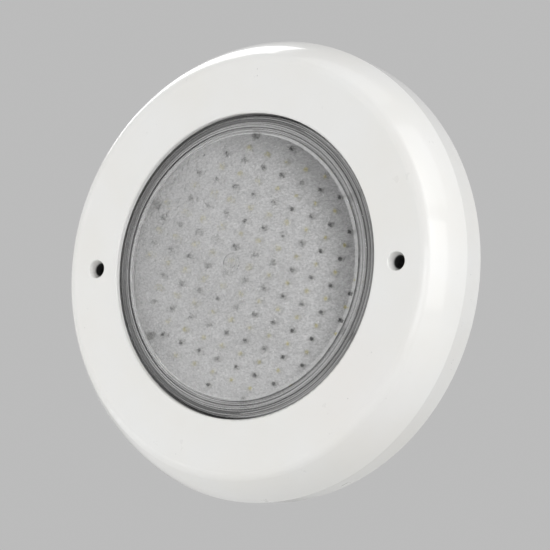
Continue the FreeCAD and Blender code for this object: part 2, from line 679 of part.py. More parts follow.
def lamp_body():
    """White cup with flange, screw lugs, insert bosses, inner posts, gland pad and back ribs."""
    body = new_body("lamp_body")
    turned(body, "cup", [
        ("body_inner", "-flange_level"), ("body_flange_radius", "-flange_level"),
        ("body_flange_radius", "-flange_under"), ("body_outer", "-flange_under"),
        ("body_outer", "-floor_back"), ("gland_hole", "-floor_back"),
        ("gland_hole", "-gland_pad_level"), ("gland_pad_radius", "-gland_pad_level"),
        ("gland_pad_radius", "-floor_front"), ("body_inner", "-floor_front")])
    round_edge(body, "cup_blend", "body_outer", "floor_back", "floor_round")

    def lug_outline(sketch):
        outline(sketch, [
            ("-lug_radius", "body_flange_radius - overlap"),
            ("lug_radius", "body_flange_radius - overlap"),
            ("lug_radius", "body_screw_offset", "lug_radius", -1),
            ("0", "body_screw_offset + lug_radius", "lug_radius", -1),
            ("-lug_radius", "body_screw_offset")])

    lug = raised(body, "lug", "flange_under", "flange_level - flange_under", lug_outline)
    around(body, "lugs", [lug], "body_screw_count")
    drilled(body, "lug_hole_cut", "flange_level", "flange_level - flange_under",
            "body_screw_offset", "lug_hole", "body_screw_count")

    boss = turned_beside(body, "insert_boss", "clamp_offset", [
        ("0", "-insert_boss_back"), ("insert_boss", "-insert_boss_back"),
        ("insert_boss", "-flange_under - overlap"), ("0", "-flange_under - overlap")])
    pocket = turned_beside(body, "insert_hole", "clamp_offset", [
        ("0", "-insert_hole_back"), ("insert_radius", "-insert_hole_back"),
        ("insert_radius", "-flange_level"), ("0", "-flange_level")], "Groove")
    turn_to_screws(body, [boss, pocket])

    post = raised(body, "post", "floor_front - overlap", "led_board_back - floor_front + overlap",
                  lambda sketch: circle(sketch, "0", "board_screw_offset", "board_post"))
    around(body, "posts", [post], "board_screw_count")
    drilled(body, "post_pilot", "led_board_back", "led_board_back - board_pilot_back",
            "board_screw_offset", "board_pilot", "board_screw_count")

    def driver_circles(radius):
        def draw(sketch):
            for x, z in driver_screw_places():
                circle(sketch, x, z, radius)
        return draw

    raised(body, "driver_posts", "floor_front - overlap", "driver_back - floor_front + overlap",
           driver_circles("driver_post"))
    sunk(body, "driver_pilots", "driver_back", "driver_back - driver_pilot_back",
         driver_circles("board_pilot"))

    turned(body, "gland_ring", [
        ("back_ring_inner", "-floor_back - overlap"), ("back_ring_outer", "-floor_back - overlap"),
        ("back_ring_outer", "-back_rib_level"), ("back_ring_inner", "-back_rib_level")])
    rib_sketch = sketch_on(body, "back_rib_outline", "XY_Plane")
    outline(rib_sketch, [
        ("back_rib_inner", "-floor_back - overlap"), ("back_rib_inner", "-back_rib_level"),
        ("back_rib_outer - back_rib_slope", "-back_rib_level"),
        ("back_rib_outer", "-floor_back - overlap")])
    rib = body.newObject("PartDesign::Pad", "back_rib")
    rib.Profile = rib_sketch
    bind(rib, "Length", "rib_thickness")
    rib.Midplane = True
    doc.recompute()
    around(body, "back_ribs", [rib], "back_rib_count")
    return body


def pan_screw(seat, tip, forward):
    """Outline of a pan-head screw with a driver recess; forward is +1 when its head faces the front."""
    sign = " - " if forward > 0 else " + "
    return [("0", "-" + seat + sign + "recess_tip"), ("recess_radius", "-" + seat + sign + "recess_floor"),
            ("recess_radius", "-" + seat + sign + "pan_height"),
            ("pan_head - pan_round", "-" + seat + sign + "pan_height"),
            ("pan_head", "-" + seat + sign + "pan_height * 0.5"), ("pan_head", "-" + seat),
            ("screw_shank", "-" + seat), ("screw_shank", "-" + tip), ("0", "-" + tip)]


def body_screws():
    """Pan-head screws driven from behind through the lugs into the face ring's bosses."""
    body = screw(new_body("body_screws"), "body_screw", pan_screw("flange_under", "body_screw_tip", -1),
                 "body_screw_offset", "body_screw_count")
    spin(body, 90)
    return body


def led_board_screws():
    """Pan-head screws that hold the LED board on its posts."""
    body = screw(new_body("led_board_screws"), "board_screw",
                 pan_screw("led_board_level", "board_screw_tip", 1),
                 "board_screw_offset", "board_screw_count")
    spin(body, 90)
    return body


def spin(body, angle):
    """Turn a finished group round the lamp's axis, so that its first piece stands at the top."""
    body.Placement = Placement(Vector(0, 0, 0), Rotation(Vector(0, 1, 0), -angle))


# ---------------------------------------------------------------- LED board

def led_board():
    """Aluminium-core disc with its screw holes."""
    body = new_body("led_board")
    raised(body, "led_disc", "led_board_back", "led_board_level - led_board_back",
           lambda sketch: circle(sketch, "0", "0", "led_board_radius"))
    drilled(body, "led_board_hole", "led_board_level", "led_board_level - led_board_back",
            "board_screw_offset", "board_hole", "board_screw_count")
    return body


def led_places(shift):
    """Places of one kind of LED: rows at the lattice tilt, shifted by part of the column pitch."""
    tilt = math.radians(size("led_tilt"))
    row = Vector(math.cos(tilt), 0, math.sin(tilt)) * size("led_row_pitch")
    column = Vector(-math.sin(tilt), 0, math.cos(tilt)) * size("led_column_pitch")
    reach = int(size("led_reach") / size("led_row_pitch")) + 1
    for across in range(-reach, reach + 1):
        for along in range(-reach, reach + 1):
            place = row * along + column * (across + shift)
            if place.Length <= size("led_reach"):
                yield place


def led_group(name, shift):
    """LED packages: a block with a shallow round cup for the light-emitting window."""
    tilt = size("led_tilt")
    half = Vector(-size("led_length") / 2, -size("led_height"), -size("led_width") / 2)
    package = Part.makeBox(size("led_length"), size("led_height"), size("led_width"), half)
    cup = Part.makeCylinder(size("led_window"), size("led_window_depth"),
                            Vector(0, -size("led_height"), 0), Vector(0, 1, 0))
    package = package.cut(cup)
    solids = []
    for place in led_places(shift):
        solid = package.copy()
        solid.Placement = Placement(place - Vector(0, size("led_board_level"), 0),
                                    Rotation(Vector(0, 1, 0), -tilt))
        solids.append(solid)
    group = doc.addObject("Part::Feature", name)
    group.Label = name
    group.Shape = Part.makeCompound(solids)
    group.Placement = Placement()
    return group


# ---------------------------------------------------------------- driver board

def driver_board():
    """Circuit board on four posts in the upper half of the cup."""
    blank = plate("driver_blank", "-driver_width * 0.5", "driver_low", "driver_width",
                  "driver_high - driver_low", "driver_back", "driver_front - driver_back")
    holes = [rod("driver_hole_%d" % index, x, z, "board_hole", "driver_back - clear_cut",
                 "driver_front - driver_back + 2 * clear_cut")
             for index, (x, z) in enumerate(driver_screw_places())]
    return cut("driver_board", blank, joined("Part::MultiFuse", "driver_holes", holes))


def driver_screw_places():
    """The driver board's four screws."""
    return [(x, z) for x in ("-driver_post_x", "driver_post_x")
            for z in ("driver_post_low", "driver_post_high")]


def driver_board_screws():
    """Four screws in the driver board: each a head and a shank."""
    screws = []
    for index, (x, z) in enumerate(driver_screw_places()):
        head = rod("driver_head_%d" % index, x, z, "pan_head", "driver_front", "pan_height")
        shank = rod("driver_shank_%d" % index, x, z, "screw_shank", "driver_screw_tip",
                    "driver_front - driver_screw_tip + overlap")
        recess = rod("driver_recess_%d" % index, x, z, "recess_radius", "driver_front + recess_floor",
                     "pan_height - recess_floor + overlap")
        whole = joined("Part::MultiFuse", "driver_screw_%d" % index, [head, shank])
        screws.append(cut("driver_screw_cut_%d" % index, whole, recess))
    return joined("Part::Compound", "driver_board_screws", screws)


def inductor_core():
    """Ferrite drum with a flange at each end."""
    pieces = [
        rod("coil_foot", "coil_x", "coil_z", "coil_flange", "driver_front", "coil_flange_thickness"),
        rod("coil_column", "coil_x", "coil_z", "coil_waist", "driver_front", "coil_height"),
        rod("coil_top", "coil_x", "coil_z", "coil_flange",
            "driver_front + coil_height - coil_flange_thickness", "coil_flange_thickness")]
    return joined("Part::MultiFuse", "inductor_core", pieces)


def inductor_winding():
    """Copper winding between the drum's flanges."""
    level = "driver_front + coil_flange_thickness + winding_gap"
    length = "coil_height - 2 * coil_flange_thickness - 2 * winding_gap"
    outside = rod("winding_outside", "coil_x", "coil_z", "coil_wire", level, length)
    inside = rod("winding_inside", "coil_x", "coil_z", "coil_waist + winding_gap * 0.5", level, length)
    return cut("inductor_winding", outside, inside)


def capacitors():
    """Two electrolytic cans."""
    cans = [rod("can_%d" % index, "can_x + %d * can_pitch" % index, "can_z", "can_radius", "driver_front",
                "can_height") for index in range(2)]
    return joined("Part::Compound", "capacitors", cans)


def bridge_rectifier():
    """Upright rectifier block with one bevelled corner."""
    block = plate("rectifier_block", "rectifier_x", "rectifier_z", "rectifier_width", "rectifier_thickness",
                  "driver_front", "rectifier_height")
    bevel = plate("rectifier_bevel", "rectifier_x", "rectifier_z", "rectifier_corner",
                  "rectifier_thickness", "driver_front + rectifier_height - rectifier_corner",
                  "rectifier_corner")
    return cut("bridge_rectifier", block, bevel)


def driver_chip():
    """Controller with four legs on each side."""
    block = plate("chip_block", "chip_x", "chip_z", "chip_length", "chip_width", "driver_front + chip_lift",
                  "chip_height")
    legs = [plate("chip_leg_%d" % index, "chip_x + leg_inset + %d * leg_pitch" % index,
                  "chip_z - leg_reach", "leg_width", "chip_width + 2 * leg_reach", "driver_front",
                  "leg_height") for index in range(4)]
    return joined("Part::MultiFuse", "driver_chip", [block] + legs)


def terminal_ways():
    """Middles of the terminal block's two ways."""
    return ("-terminal_pitch * 0.5", "terminal_pitch * 0.5")


def terminal_block():
    """Two-way block with a screw well and a wire entry for each way."""
    block = plate("terminal_body", "-terminal_width * 0.5", "terminal_low", "terminal_width",
                  "terminal_depth", "driver_front", "terminal_height")
    tools = []
    for index, x in enumerate(terminal_ways()):
        tools.append(rod("well_%d" % index, x, "terminal_low + terminal_depth * 0.5", "terminal_well",
                         "driver_front + terminal_height - terminal_well_depth",
                         "terminal_well_depth + clear_cut"))
        entry = doc.addObject("Part::Cylinder", "entry_%d" % index)
        for field, text in (("Radius", "terminal_entry"), ("Height", "terminal_entry_depth"),
                            ("Placement.Base.x", x), ("Placement.Base.z", "terminal_low - overlap"),
                            ("Placement.Base.y", "-terminal_entry_level")):
            bind(entry, field, text)
        tools.append(entry)
    return cut("terminal_block", block, joined("Part::MultiFuse", "terminal_cuts", tools))


def terminal_screws():
    """A slotted screw in each well."""
    level = "driver_front + terminal_height - terminal_well_depth"
    screws = []
    for index, x in enumerate(terminal_ways()):
        z = "terminal_low + terminal_depth * 0.5"
        bar = rod("terminal_bar_%d" % index, x, z, "terminal_screw", level, "terminal_screw_length")
        slot = plate("terminal_slot_%d" % index, x + " - terminal_screw", z + " - slot_width * 0.5",
                     "2 * terminal_screw", "slot_width", level + " + terminal_screw_length - slot_depth",
                     "slot_depth")
        screws.append(cut("terminal_screw_%d" % index, bar, slot))
    return joined("Part::Compound", "terminal_screws", screws)


def led_connector():
    """Plug housing on the back of the LED board, open at the top for the leads."""
    block = plate("plug_block", "plug_x - plug_width * 0.5", "plug_top - plug_length", "plug_width",
                  "plug_length", "led_board_back - plug_height", "plug_height")
    hollow = plate("plug_hollow", "plug_x - plug_width * 0.5 + plug_wall", "plug_top - plug_well",
                   "plug_width - 2 * plug_wall", "plug_well + clear_cut",
                   "led_board_back - plug_height + plug_wall", "plug_height - 2 * plug_wall")
    return cut("led_connector", block, hollow)


def led_leads():
    """Two insulated leads: up from the driver board, one bend, then down to the connector."""
    bend = size("lead_bend")
    level = size("lead_level")
    start_z = size("lead_start_z")
    solids = []
    for side in (-0.5, 0.5):
        x = size("plug_x") + side * size("lead_pitch")
        foot = Vector(x, -size("driver_front"), start_z)
        rise = Vector(x, -(level - bend), start_z)
        middle = Vector(x, -(level - bend + bend * math.sin(math.pi / 4)),
                        start_z - bend + bend * math.cos(math.pi / 4))
        over = Vector(x, -level, start_z - bend)
        end = Vector(x, -level, size("plug_top") - size("lead_end"))
        path = Part.Wire([Part.LineSegment(foot, rise).toShape(), Part.Arc(rise, middle, over).toShape(),
                          Part.LineSegment(over, end).toShape()])
        section = Part.Wire([Part.Circle(foot, Vector(0, -1, 0), size("lead_radius")).toShape()])
        solids.append(path.makePipeShell([section], True, False))
    group = doc.addObject("Part::Feature", "led_leads")
    group.Label = "led_leads"
    group.Shape = Part.makeCompound(solids)
    group.Placement = Placement()
    return group


# ---------------------------------------------------------------- cable gland

def hex_chamfer(body, name, corner_y, inner_y, far_y):
    """Turn the hexagon's corners down to a cone at one end."""
    return turned(body, name, [
        ("nut_chamfer_radius", corner_y), ("gland_flats * " + HEX_CORNER + " + overlap", inner_y),
        ("gland_flats * " + HEX_CORNER + " + overlap", far_y), ("nut_chamfer_radius", far_y)], "Groove")


def gland_body():
    """Hexagon with a thread each way, a seal pocket behind and a groove for the sealing ring."""
    body = new_body("gland_body")
    raised(body, "gland_hex", "gland_hex_back", "floor_back - gland_hex_back",
           lambda sketch: hexagon(sketch, "gland_flats"))
    hex_chamfer(body, "gland_hex_chamfer", "-gland_hex_back", "-gland_hex_back - nut_chamfer",
                "-gland_hex_back + clear_cut")
    turned(body, "gland_stem", [
        ("0", "-gland_inner_end"), ("gland_thread - thread_depth", "-gland_inner_end"),
        ("gland_thread", "-gland_inner_end + thread_lead"),
        ("gland_thread", "gland_thread_reach - thread_lead"),
        ("gland_thread - thread_depth", "gland_thread_reach"), ("0", "gland_thread_reach")])
    turned(body, "gland_way", [
        ("0", "-gland_inner_end - clear_cut"), ("gland_bore", "-gland_inner_end - clear_cut"),
        ("gland_bore", "-gland_pocket_level"), ("gland_pocket", "-gland_pocket_level"),
        ("gland_pocket", "gland_thread_reach + clear_cut"),
        ("0", "gland_thread_reach + clear_cut")], "Groove")
    turned(body, "gland_groove", [
        ("ring_groove_inner", "-floor_back"), ("ring_groove_outer", "-floor_back"),
        ("ring_groove_outer", "-ring_groove_level"), ("ring_groove_inner", "-ring_groove_level")], "Groove")
    return body


def gland_o_ring():
    """Rubber ring in the gland's groove."""
    ring = doc.addObject("Part::Torus", "gland_o_ring")
    ring.Label = "gland_o_ring"
    ring.Placement = Placement(Vector(0, 0, 0), Rotation(Vector(1, 0, 0), 90))
    bind(ring, "Radius1", "ring_middle")
    bind(ring, "Radius2", "ring_section")
    bind(ring, "Placement.Base.y", "-floor_back + ring_section + hair")
    return ring


def gland_lock_nut():
    """Hexagon nut on the gland's thread inside the lamp body."""
    body = new_body("gland_lock_nut")
    raised(body, "lock_hex", "gland_pad_level", "lock_nut_front - gland_pad_level",
           lambda sketch: hexagon(sketch, "gland_flats"))
    hex_chamfer(body, "lock_chamfer", "-lock_nut_front", "-lock_nut_front + nut_chamfer",
                "-lock_nut_front - clear_cut")
    sunk(body, "lock_bore", "lock_nut_front", "lock_nut_front - gland_pad_level",
         lambda sketch: circle(sketch, "0", "0", "lock_nut_bore"))
    return body


def gland_seal():
    """Rubber sleeve that grips the cable."""
    body = new_body("gland_seal")
    turned(body, "seal_sleeve", [
        ("seal_bore", "-seal_level"), ("seal_radius", "-seal_level"),
        ("seal_radius", "seal_reach - seal_bevel"), ("seal_radius - seal_bevel", "seal_reach"),
        ("seal_bore", "seal_reach")])
    return body


def gland_cage():
    """Plastic cage whose fingers the nut bends onto the cable."""
    body = new_body("gland_cage")
    turned(body, "cage_sleeve", [
        ("cage_bore", "cage_start"), ("cage_radius", "cage_start"), ("cage_radius", "cage_taper"),
        ("cage_tip_radius", "cage_tip"), ("cage_bore", "cage_tip")])
    sketch = sketch_on(body, "cage_slot_outline", "XY_Plane")
    outline(sketch, [
        ("cage_bore - clear_cut", "cage_slot_start"), ("cage_radius + clear_cut", "cage_slot_start"),
        ("cage_radius + clear_cut", "cage_tip + clear_cut"),
        ("cage_bore - clear_cut", "cage_tip + clear_cut")])
    slot = body.newObject("PartDesign::Pocket", "cage_slot_cut")
    slot.Profile = sketch
    bind(slot, "Length", "cage_slot")
    slot.Midplane = True
    doc.recompute()
    around(body, "cage_slots", [slot], "cage_slot_count")
    return body


def gland_nut():
    """Domed hexagon nut with a clamping cone and a flared cable mouth."""
    body = new_body("gland_nut")
    raised(body, "nut_hex", "-nut_hex_end", "nut_hex_end - nut_start",
           lambda sketch: hexagon(sketch, "gland_flats"))
    hex_chamfer(body, "nut_front_chamfer", "nut_start", "nut_start + nut_chamfer", "nut_start - clear_cut")
    hex_chamfer(body, "nut_back_chamfer", "nut_hex_end", "nut_hex_end - nut_chamfer",
                "nut_hex_end + clear_cut")
    turned(body, "nut_dome_part", [
        ("0", "nut_start + overlap"), ("nut_dome", "nut_start + overlap"),
        ("nut_dome", "nut_hex_end", "nut_dome_curve", -1),
        ("nut_dome_tip", "nut_end"), ("0", "nut_end")])
    turned(body, "nut_way", [
        ("0", "nut_start - clear_cut"), ("nut_bore", "nut_start - clear_cut"), ("nut_bore", "nut_bore_end"),
        ("nut_cone", "nut_bore_end"), ("nut_mouth", "nut_cone_end"), ("nut_mouth", "nut_end - nut_flare"),
        ("nut_mouth_edge", "nut_end + hair"), ("0", "nut_end + hair")], "Groove")
    return body


# ---------------------------------------------------------------- build, check and write

def check_document():
    """Stop if any object of the document failed."""
    for thing in doc.Objects:
        if "Invalid" in thing.State or "Error" in thing.State:
            raise RuntimeError("%s is in state %s" % (thing.Name, thing.State))


def write_pieces(pieces):
    """Check each piece and write it under its label."""
    for piece in pieces:
        shape = piece.Shape
        if shape.isNull() or not shape.isValid() or not shape.Solids:
            raise RuntimeError(piece.Label + " has no valid solid")
    os.makedirs("parts", exist_ok=True)
    for piece in pieces:
        shape = piece.Shape
        shape.exportStep("parts/%s.step" % piece.Label)
        print("%-22s %3d solids %12.1f mm3" % (piece.Label, len(shape.Solids), shape.Volume))


PIECES = [
    face_ring(),
    lens(),
    lens_clamp_ring(),
    lens_clamp_screws(),
    flat_ring("lens_gasket", "gasket_inner", "flange_radius", "gasket_level", "flange_level"),
    lens_screw_inserts(),
    lamp_body(),
    body_screws(),
    led_board(),
    led_group("white_leds", 0.0),
    led_group("colour_leds", 0.5),
    led_board_screws(),
    led_connector(),
    led_leads(),
    driver_board(),
    driver_board_screws(),
    inductor_core(),
    inductor_winding(),
    capacitors(),
    bridge_rectifier(),
    driver_chip(),
    terminal_block(),
    terminal_screws(),
    gland_body(),
    gland_o_ring(),
    gland_lock_nut(),
    gland_seal(),
    gland_cage(),
    gland_nut(),
]
doc.recompute()
check_document()
write_pieces(PIECES)
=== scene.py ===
"""Looks of the underwater pool light: a white face ring, a pebbled clear lens over an LED board,
and the sealed lamp body with its cable gland behind.

The light faces -Y. Shapes are worked out in millimetres: a "level" is a distance in front of the wall
(y = -level), and angles run from +X towards +Z round the lamp's axis. Patterns of the materials, the
camera and the lamps are in metres.
"""
import math

import bmesh
import bpy
from mathutils import Matrix, Vector, noise


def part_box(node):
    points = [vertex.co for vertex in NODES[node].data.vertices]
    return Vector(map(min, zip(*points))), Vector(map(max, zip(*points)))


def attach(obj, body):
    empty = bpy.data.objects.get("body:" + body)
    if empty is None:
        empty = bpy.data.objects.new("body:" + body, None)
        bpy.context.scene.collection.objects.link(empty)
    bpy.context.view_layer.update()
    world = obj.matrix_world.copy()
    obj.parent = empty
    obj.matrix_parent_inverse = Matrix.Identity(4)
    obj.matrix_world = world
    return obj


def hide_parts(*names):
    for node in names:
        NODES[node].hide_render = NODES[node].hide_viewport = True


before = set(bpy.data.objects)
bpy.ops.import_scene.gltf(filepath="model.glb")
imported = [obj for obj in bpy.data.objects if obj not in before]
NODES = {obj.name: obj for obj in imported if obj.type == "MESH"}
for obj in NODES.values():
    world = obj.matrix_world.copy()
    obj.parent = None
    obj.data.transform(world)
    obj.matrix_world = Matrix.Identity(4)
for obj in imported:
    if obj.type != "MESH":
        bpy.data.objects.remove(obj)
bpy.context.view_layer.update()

MM = 0.001


def front(node):
    """Level of a node's front, in millimetres."""
    return -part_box(node)[0].y / MM


def back(node):
    """Level of a node's back, in millimetres."""
    return -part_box(node)[1].y / MM


def reach(node):
    """Largest distance of a node from the lamp's axis along X, in millimetres."""
    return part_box(node)[1].x / MM


RING_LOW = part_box("face_ring")[0]
CENTRE = Vector((0, RING_LOW.y, 0))     # middle of the lens opening, on the plane of the ring's front


# ---------------------------------------------------------------- materials

WAVE_STEP = math.tau / 20               # distance between crests of Blender's wave texture at scale 1
TRACK_SCALE = 58.0                      # of the board's tracks, which makes them 5.4 mm apart
WIRE_SCALE = 900.0                      # of the inductor's wire: turns 0.35 mm apart
GRAIN_SLANT = (0, math.radians(20), 0)  # turn of the LED rows and of the lens's grain


class Paint:
    """A material round one Principled shader, with short calls for its pattern nodes."""

    def __init__(self, name, colour, roughness, **sockets):
        self.material = bpy.data.materials.new(name)
        self.material.use_nodes = True
        self.tree = self.material.node_tree
        self.shader = self.tree.nodes["Principled BSDF"]
        self.output = self.tree.nodes["Material Output"]
        self.shader.inputs["Base Color"].default_value = (*colour, 1)
        self.shader.inputs["Roughness"].default_value = roughness
        for socket, value in sockets.items():
            self.shader.inputs[socket.replace("_", " ")].default_value = value
        self.place = self.node("ShaderNodeTexCoord").outputs["Object"]

    def node(self, kind, **fields):
        made = self.tree.nodes.new(kind)
        for field, value in fields.items():
            setattr(made, field, value)
        return made

    def link(self, source, target):
        self.tree.links.new(source, target)

    def stretched(self, scale, turn=(0, 0, 0)):
        """Object coordinates scaled along each axis and turned."""
        made = self.node("ShaderNodeMapping")
        made.inputs["Scale"].default_value = scale
        made.inputs["Rotation"].default_value = turn
        self.link(self.place, made.inputs["Vector"])
        return made.outputs["Vector"]

    def noise(self, size, detail=3.0, place=None, rough=0.5):
        """Soft noise whose features are about size metres across."""
        made = self.node("ShaderNodeTexNoise")
        made.inputs["Scale"].default_value = 1.0 / size
        made.inputs["Detail"].default_value = detail
        made.inputs["Roughness"].default_value = rough
        self.link(place or self.place, made.inputs["Vector"])
        return made.outputs["Fac"]

    def uneven(self, size, start=0.0, end=1.0, detail=3.0):
        """Soft noise about size metres across, spread over start to end."""
        return self.span(self.noise(size, detail), 0.3, 0.7, start, end)

    def cells(self, size):
        """Distance to the nearest middle of cells about size metres across."""
        made = self.node("ShaderNodeTexVoronoi", feature="F1")
        made.inputs["Scale"].default_value = 1.0 / size
        self.link(self.place, made.inputs["Vector"])
        return made.outputs["Distance"]

    def wave(self, scale, wander=0.0, wander_scale=1.0, place=None, **fields):
        """Waves from 0 to 1, WAVE_STEP / scale metres apart, that wander to the sides."""
        made = self.node("ShaderNodeTexWave", wave_profile="SIN", **fields)
        made.inputs["Scale"].default_value = scale
        made.inputs["Distortion"].default_value = wander
        made.inputs["Detail Scale"].default_value = wander_scale
        self.link(place or self.place, made.inputs["Vector"])
        return made.outputs["Fac"]

    def span(self, value, low, high, start=0.0, end=1.0):
        """Value from low to high, spread over start to end and kept inside it."""
        made = self.node("ShaderNodeMapRange")
        numbers = {"From Min": low, "From Max": high, "To Min": start, "To Max": end}
        for socket, number in numbers.items():
            made.inputs[socket].default_value = number
        self.link(value, made.inputs["Value"])
        return made.outputs["Result"]

    def product(self, first, second):
        made = self.node("ShaderNodeMath", operation="MULTIPLY")
        self.link(first, made.inputs[0])
        self.link(second, made.inputs[1])
        return made.outputs[0]

    def distance(self, source, place):
        """Distance of a position from a fixed place."""
        made = self.node("ShaderNodeVectorMath", operation="DISTANCE")
        made.inputs[1].default_value = place
        self.link(source, made.inputs[0])
        return made.outputs["Value"]

    def nearness(self, x, z, radius):
        """1 at a place on the plane of the ring's front, falling to 0 at this radius."""
        return self.span(self.distance(self.place, (x, CENTRE.y, z)), 0, radius, 1, 0)

    def beside(self, x, near, far):
        """1 within near of a line along Y, x metres right or left of the lamp's axis, and 0 beyond far."""
        both = self.node("ShaderNodeVectorMath", operation="ABSOLUTE")
        self.link(self.place, both.inputs[0])
        flat = self.node("ShaderNodeVectorMath", operation="MULTIPLY")
        flat.inputs[1].default_value = (1, 0, 1)
        self.link(both.outputs[0], flat.inputs[0])
        return self.span(self.distance(flat.outputs[0], (x, 0, 0)), near, far, 1, 0)

    def blend(self, factor, first, second):
        """Mix of two colours, each a tuple or a socket."""
        made = self.node("ShaderNodeMix", data_type="RGBA")
        for index, part in ((6, first), (7, second)):       # the node's two colour inputs
            if isinstance(part, tuple):
                made.inputs[index].default_value = (*part, 1)
            else:
                self.link(part, made.inputs[index])
        self.link(factor, made.inputs[0])
        return made.outputs[2]

    def colour(self, value):
        self.link(value, self.shader.inputs["Base Color"])

    def roughness(self, value):
        self.link(value, self.shader.inputs["Roughness"])

    def bump(self, value, depth, before=None):
        """Surface relief of a pattern, depth in metres, on top of an earlier one."""
        made = self.node("ShaderNodeBump")
        made.inputs["Strength"].default_value = 1.0
        made.inputs["Distance"].default_value = depth
        self.link(value, made.inputs["Height"])
        if before is not None:
            self.link(before, made.inputs["Normal"])
        self.link(made.outputs["Normal"], self.shader.inputs["Normal"])
        return made.outputs["Normal"]


def shaded(colour, factor):
    """Colour with all its parts multiplied by one factor."""
    return tuple(part * factor for part in colour)


def tinted(colour, tint):
    """Colour with each part multiplied by that of a tint."""
    return tuple(part * share for part, share in zip(colour, tint))


YELLOWED = (0.985, 0.975, 0.955)        # tint of the faint clouds in the white plastic
WARMED = (1.0, 0.955, 0.935)            # tint of its warm patch at the lower right
WARM_X, WARM_Z, WARM_REACH = 0.085, -0.075, 0.055
SPECK_SPACING = 0.007
HOLE_X = 0.111                          # the two wall-screw holes, right and left of the lamp's axis
BORE_SHADE_FULL, BORE_SHADE_END = 0.0041, 0.0045  # radii inside which the painted shade in the bores is full and beyond which there is none


def white_plastic(name, tone, gloss, coat):
    """Moulded white plastic: faint clouds, a warm patch, dust specks, slightly uneven gloss, and painted
    shade deep in the wall-screw bores.
    """
    paint = Paint(name, tone, gloss, IOR=1.5, Coat_Weight=coat, Coat_Roughness=0.04)
    base = paint.blend(paint.span(paint.noise(0.06), 0.35, 0.65), tone, tinted(tone, YELLOWED))
    warm = paint.nearness(WARM_X, WARM_Z, WARM_REACH)
    base = paint.blend(paint.span(warm, 0, 1, 0, 0.35), base, tinted(tone, WARMED))
    dots = paint.span(paint.cells(SPECK_SPACING), 0.03, 0.05, 1, 0)
    dots = paint.product(dots, paint.span(paint.noise(SPECK_SPACING * 5, 1), 0.55, 0.59))
    base = paint.blend(dots, base, shaded(tone, 0.5))
    # painted shade: near black deep inside the two wall-screw bores, where shade falls
    bore_shade = paint.beside(HOLE_X, BORE_SHADE_FULL, BORE_SHADE_END)
    paint.colour(paint.blend(bore_shade, base, shaded(tone, 0.03)))
    paint.roughness(paint.span(paint.noise(0.02, 5, rough=0.65), 0.3, 0.75, gloss * 0.9, gloss * 1.15))
    relief = paint.bump(paint.noise(0.014, 2), 0.00003)
    paint.bump(paint.noise(0.0009, 2), 0.000003, relief)
    return paint.material


def moulding(name, colour, rough, grain=0.0012, contrast=0.12):
    """Moulded or coated part with a fine grain and slight changes of tone and gloss."""
    paint = Paint(name, colour, rough)
    paint.colour(paint.blend(paint.uneven(grain * 12), shaded(colour, 1 - contrast), colour))
    paint.roughness(paint.uneven(grain * 6, rough * 0.85, min(1.0, rough * 1.2), detail=4))
    paint.bump(paint.noise(grain, 2), 0.00002)
    return paint.material


def metal(name, colour, rough, stretch=(1, 1, 1)):
    """Metal with fine tool marks, drawn out along the axis with the smallest stretch."""
    paint = Paint(name, colour, rough, Metallic=1.0)
    marks = paint.noise(0.0006, 4, paint.stretched(stretch))
    paint.colour(paint.blend(paint.span(marks, 0.3, 0.7), shaded(colour, 0.8), colour))
    paint.roughness(paint.span(marks, 0.3, 0.7, rough * 0.7, rough * 1.4))
    paint.bump(marks, 0.000006)
    return paint.material


CLEAR = (0.965, 0.965, 0.965)
LET_THROUGH = (0.89, 0.89, 0.895)       # what the lens leaves of direct lamp light
# colour of the fine dark lines painted in the rim, standing for shade and dark reflections in its steps
PAINTED_LINE_SHADE = (0.02, 0.02, 0.02)
LIP_REACH = 0.104                       # distance from the lit side at which the painted shade of the face ring's lip is full
DEEP_X, DEEP_Z, DEEP_REACH = -0.09, 0.06, 0.2   # the upper left, where the grain is deepest


def clear_plastic(name, rough, grain, depth, cloud,
                  clearness=1.0, lip_shade=0.0, lit_side=(0, 0), line_pitch=0.0):
    """Clear polycarbonate with a drawn-out grain; direct lamp light passes straight through it.

    cloud is how much the grain darkens what is seen through it, clearness the share that is not
    milky, and lip_shade how much painted shade of the face ring's lip darkens the plastic
    away from lit_side (x, z of its lightest spot).
    The grain is deepest at the upper left, where the LEDs show least. line_pitch is the spacing in
    metres of fine dark lines painted round the axis as shade and reflections in the rim, if there are any."""
    paint = Paint(name, CLEAR, rough, IOR=1.58, Transmission_Weight=clearness)
    texture = paint.noise(grain, 3, paint.stretched((0.7, 1, 1.1), GRAIN_SLANT), 0.6)
    tone = paint.blend(paint.span(texture, 0.40, 0.60), shaded(CLEAR, 1 - cloud), CLEAR)
    if line_pitch:
        # painted shade and painted reflections: fine dark lines round the axis in the rim's steps
        rings = paint.wave(WAVE_STEP / line_pitch, 0.5, 0.4, wave_type="RINGS", rings_direction="Y")
        tone = paint.blend(paint.span(rings, 0.04, 0.16, 0.85, 0), tone, PAINTED_LINE_SHADE)
    # painted shade of the face ring's lip: the colour darkens towards black away from lit_side
    lip = paint.span(paint.nearness(*lit_side, LIP_REACH), 0, 0.22, lip_shade, 0)
    paint.colour(paint.blend(lip, tone, (0, 0, 0)))
    paint.roughness(paint.uneven(grain * 3, rough * 0.7, rough * 1.4, detail=2))
    deeper = paint.span(paint.nearness(DEEP_X, DEEP_Z, DEEP_REACH), 0, 1, 0.5, 3.5)
    paint.bump(paint.product(texture, deeper), depth)

    lamps = paint.node("ShaderNodeLightPath")
    through = paint.node("ShaderNodeBsdfTransparent")
    through.inputs["Color"].default_value = (*LET_THROUGH, 1)
    mix = paint.node("ShaderNodeMixShader")
    paint.link(lamps.outputs["Is Shadow Ray"], mix.inputs[0])
    paint.link(paint.shader.outputs[0], mix.inputs[1])
    paint.link(through.outputs[0], mix.inputs[2])
    paint.link(mix.outputs[0], paint.output.inputs["Surface"])
    return paint.material


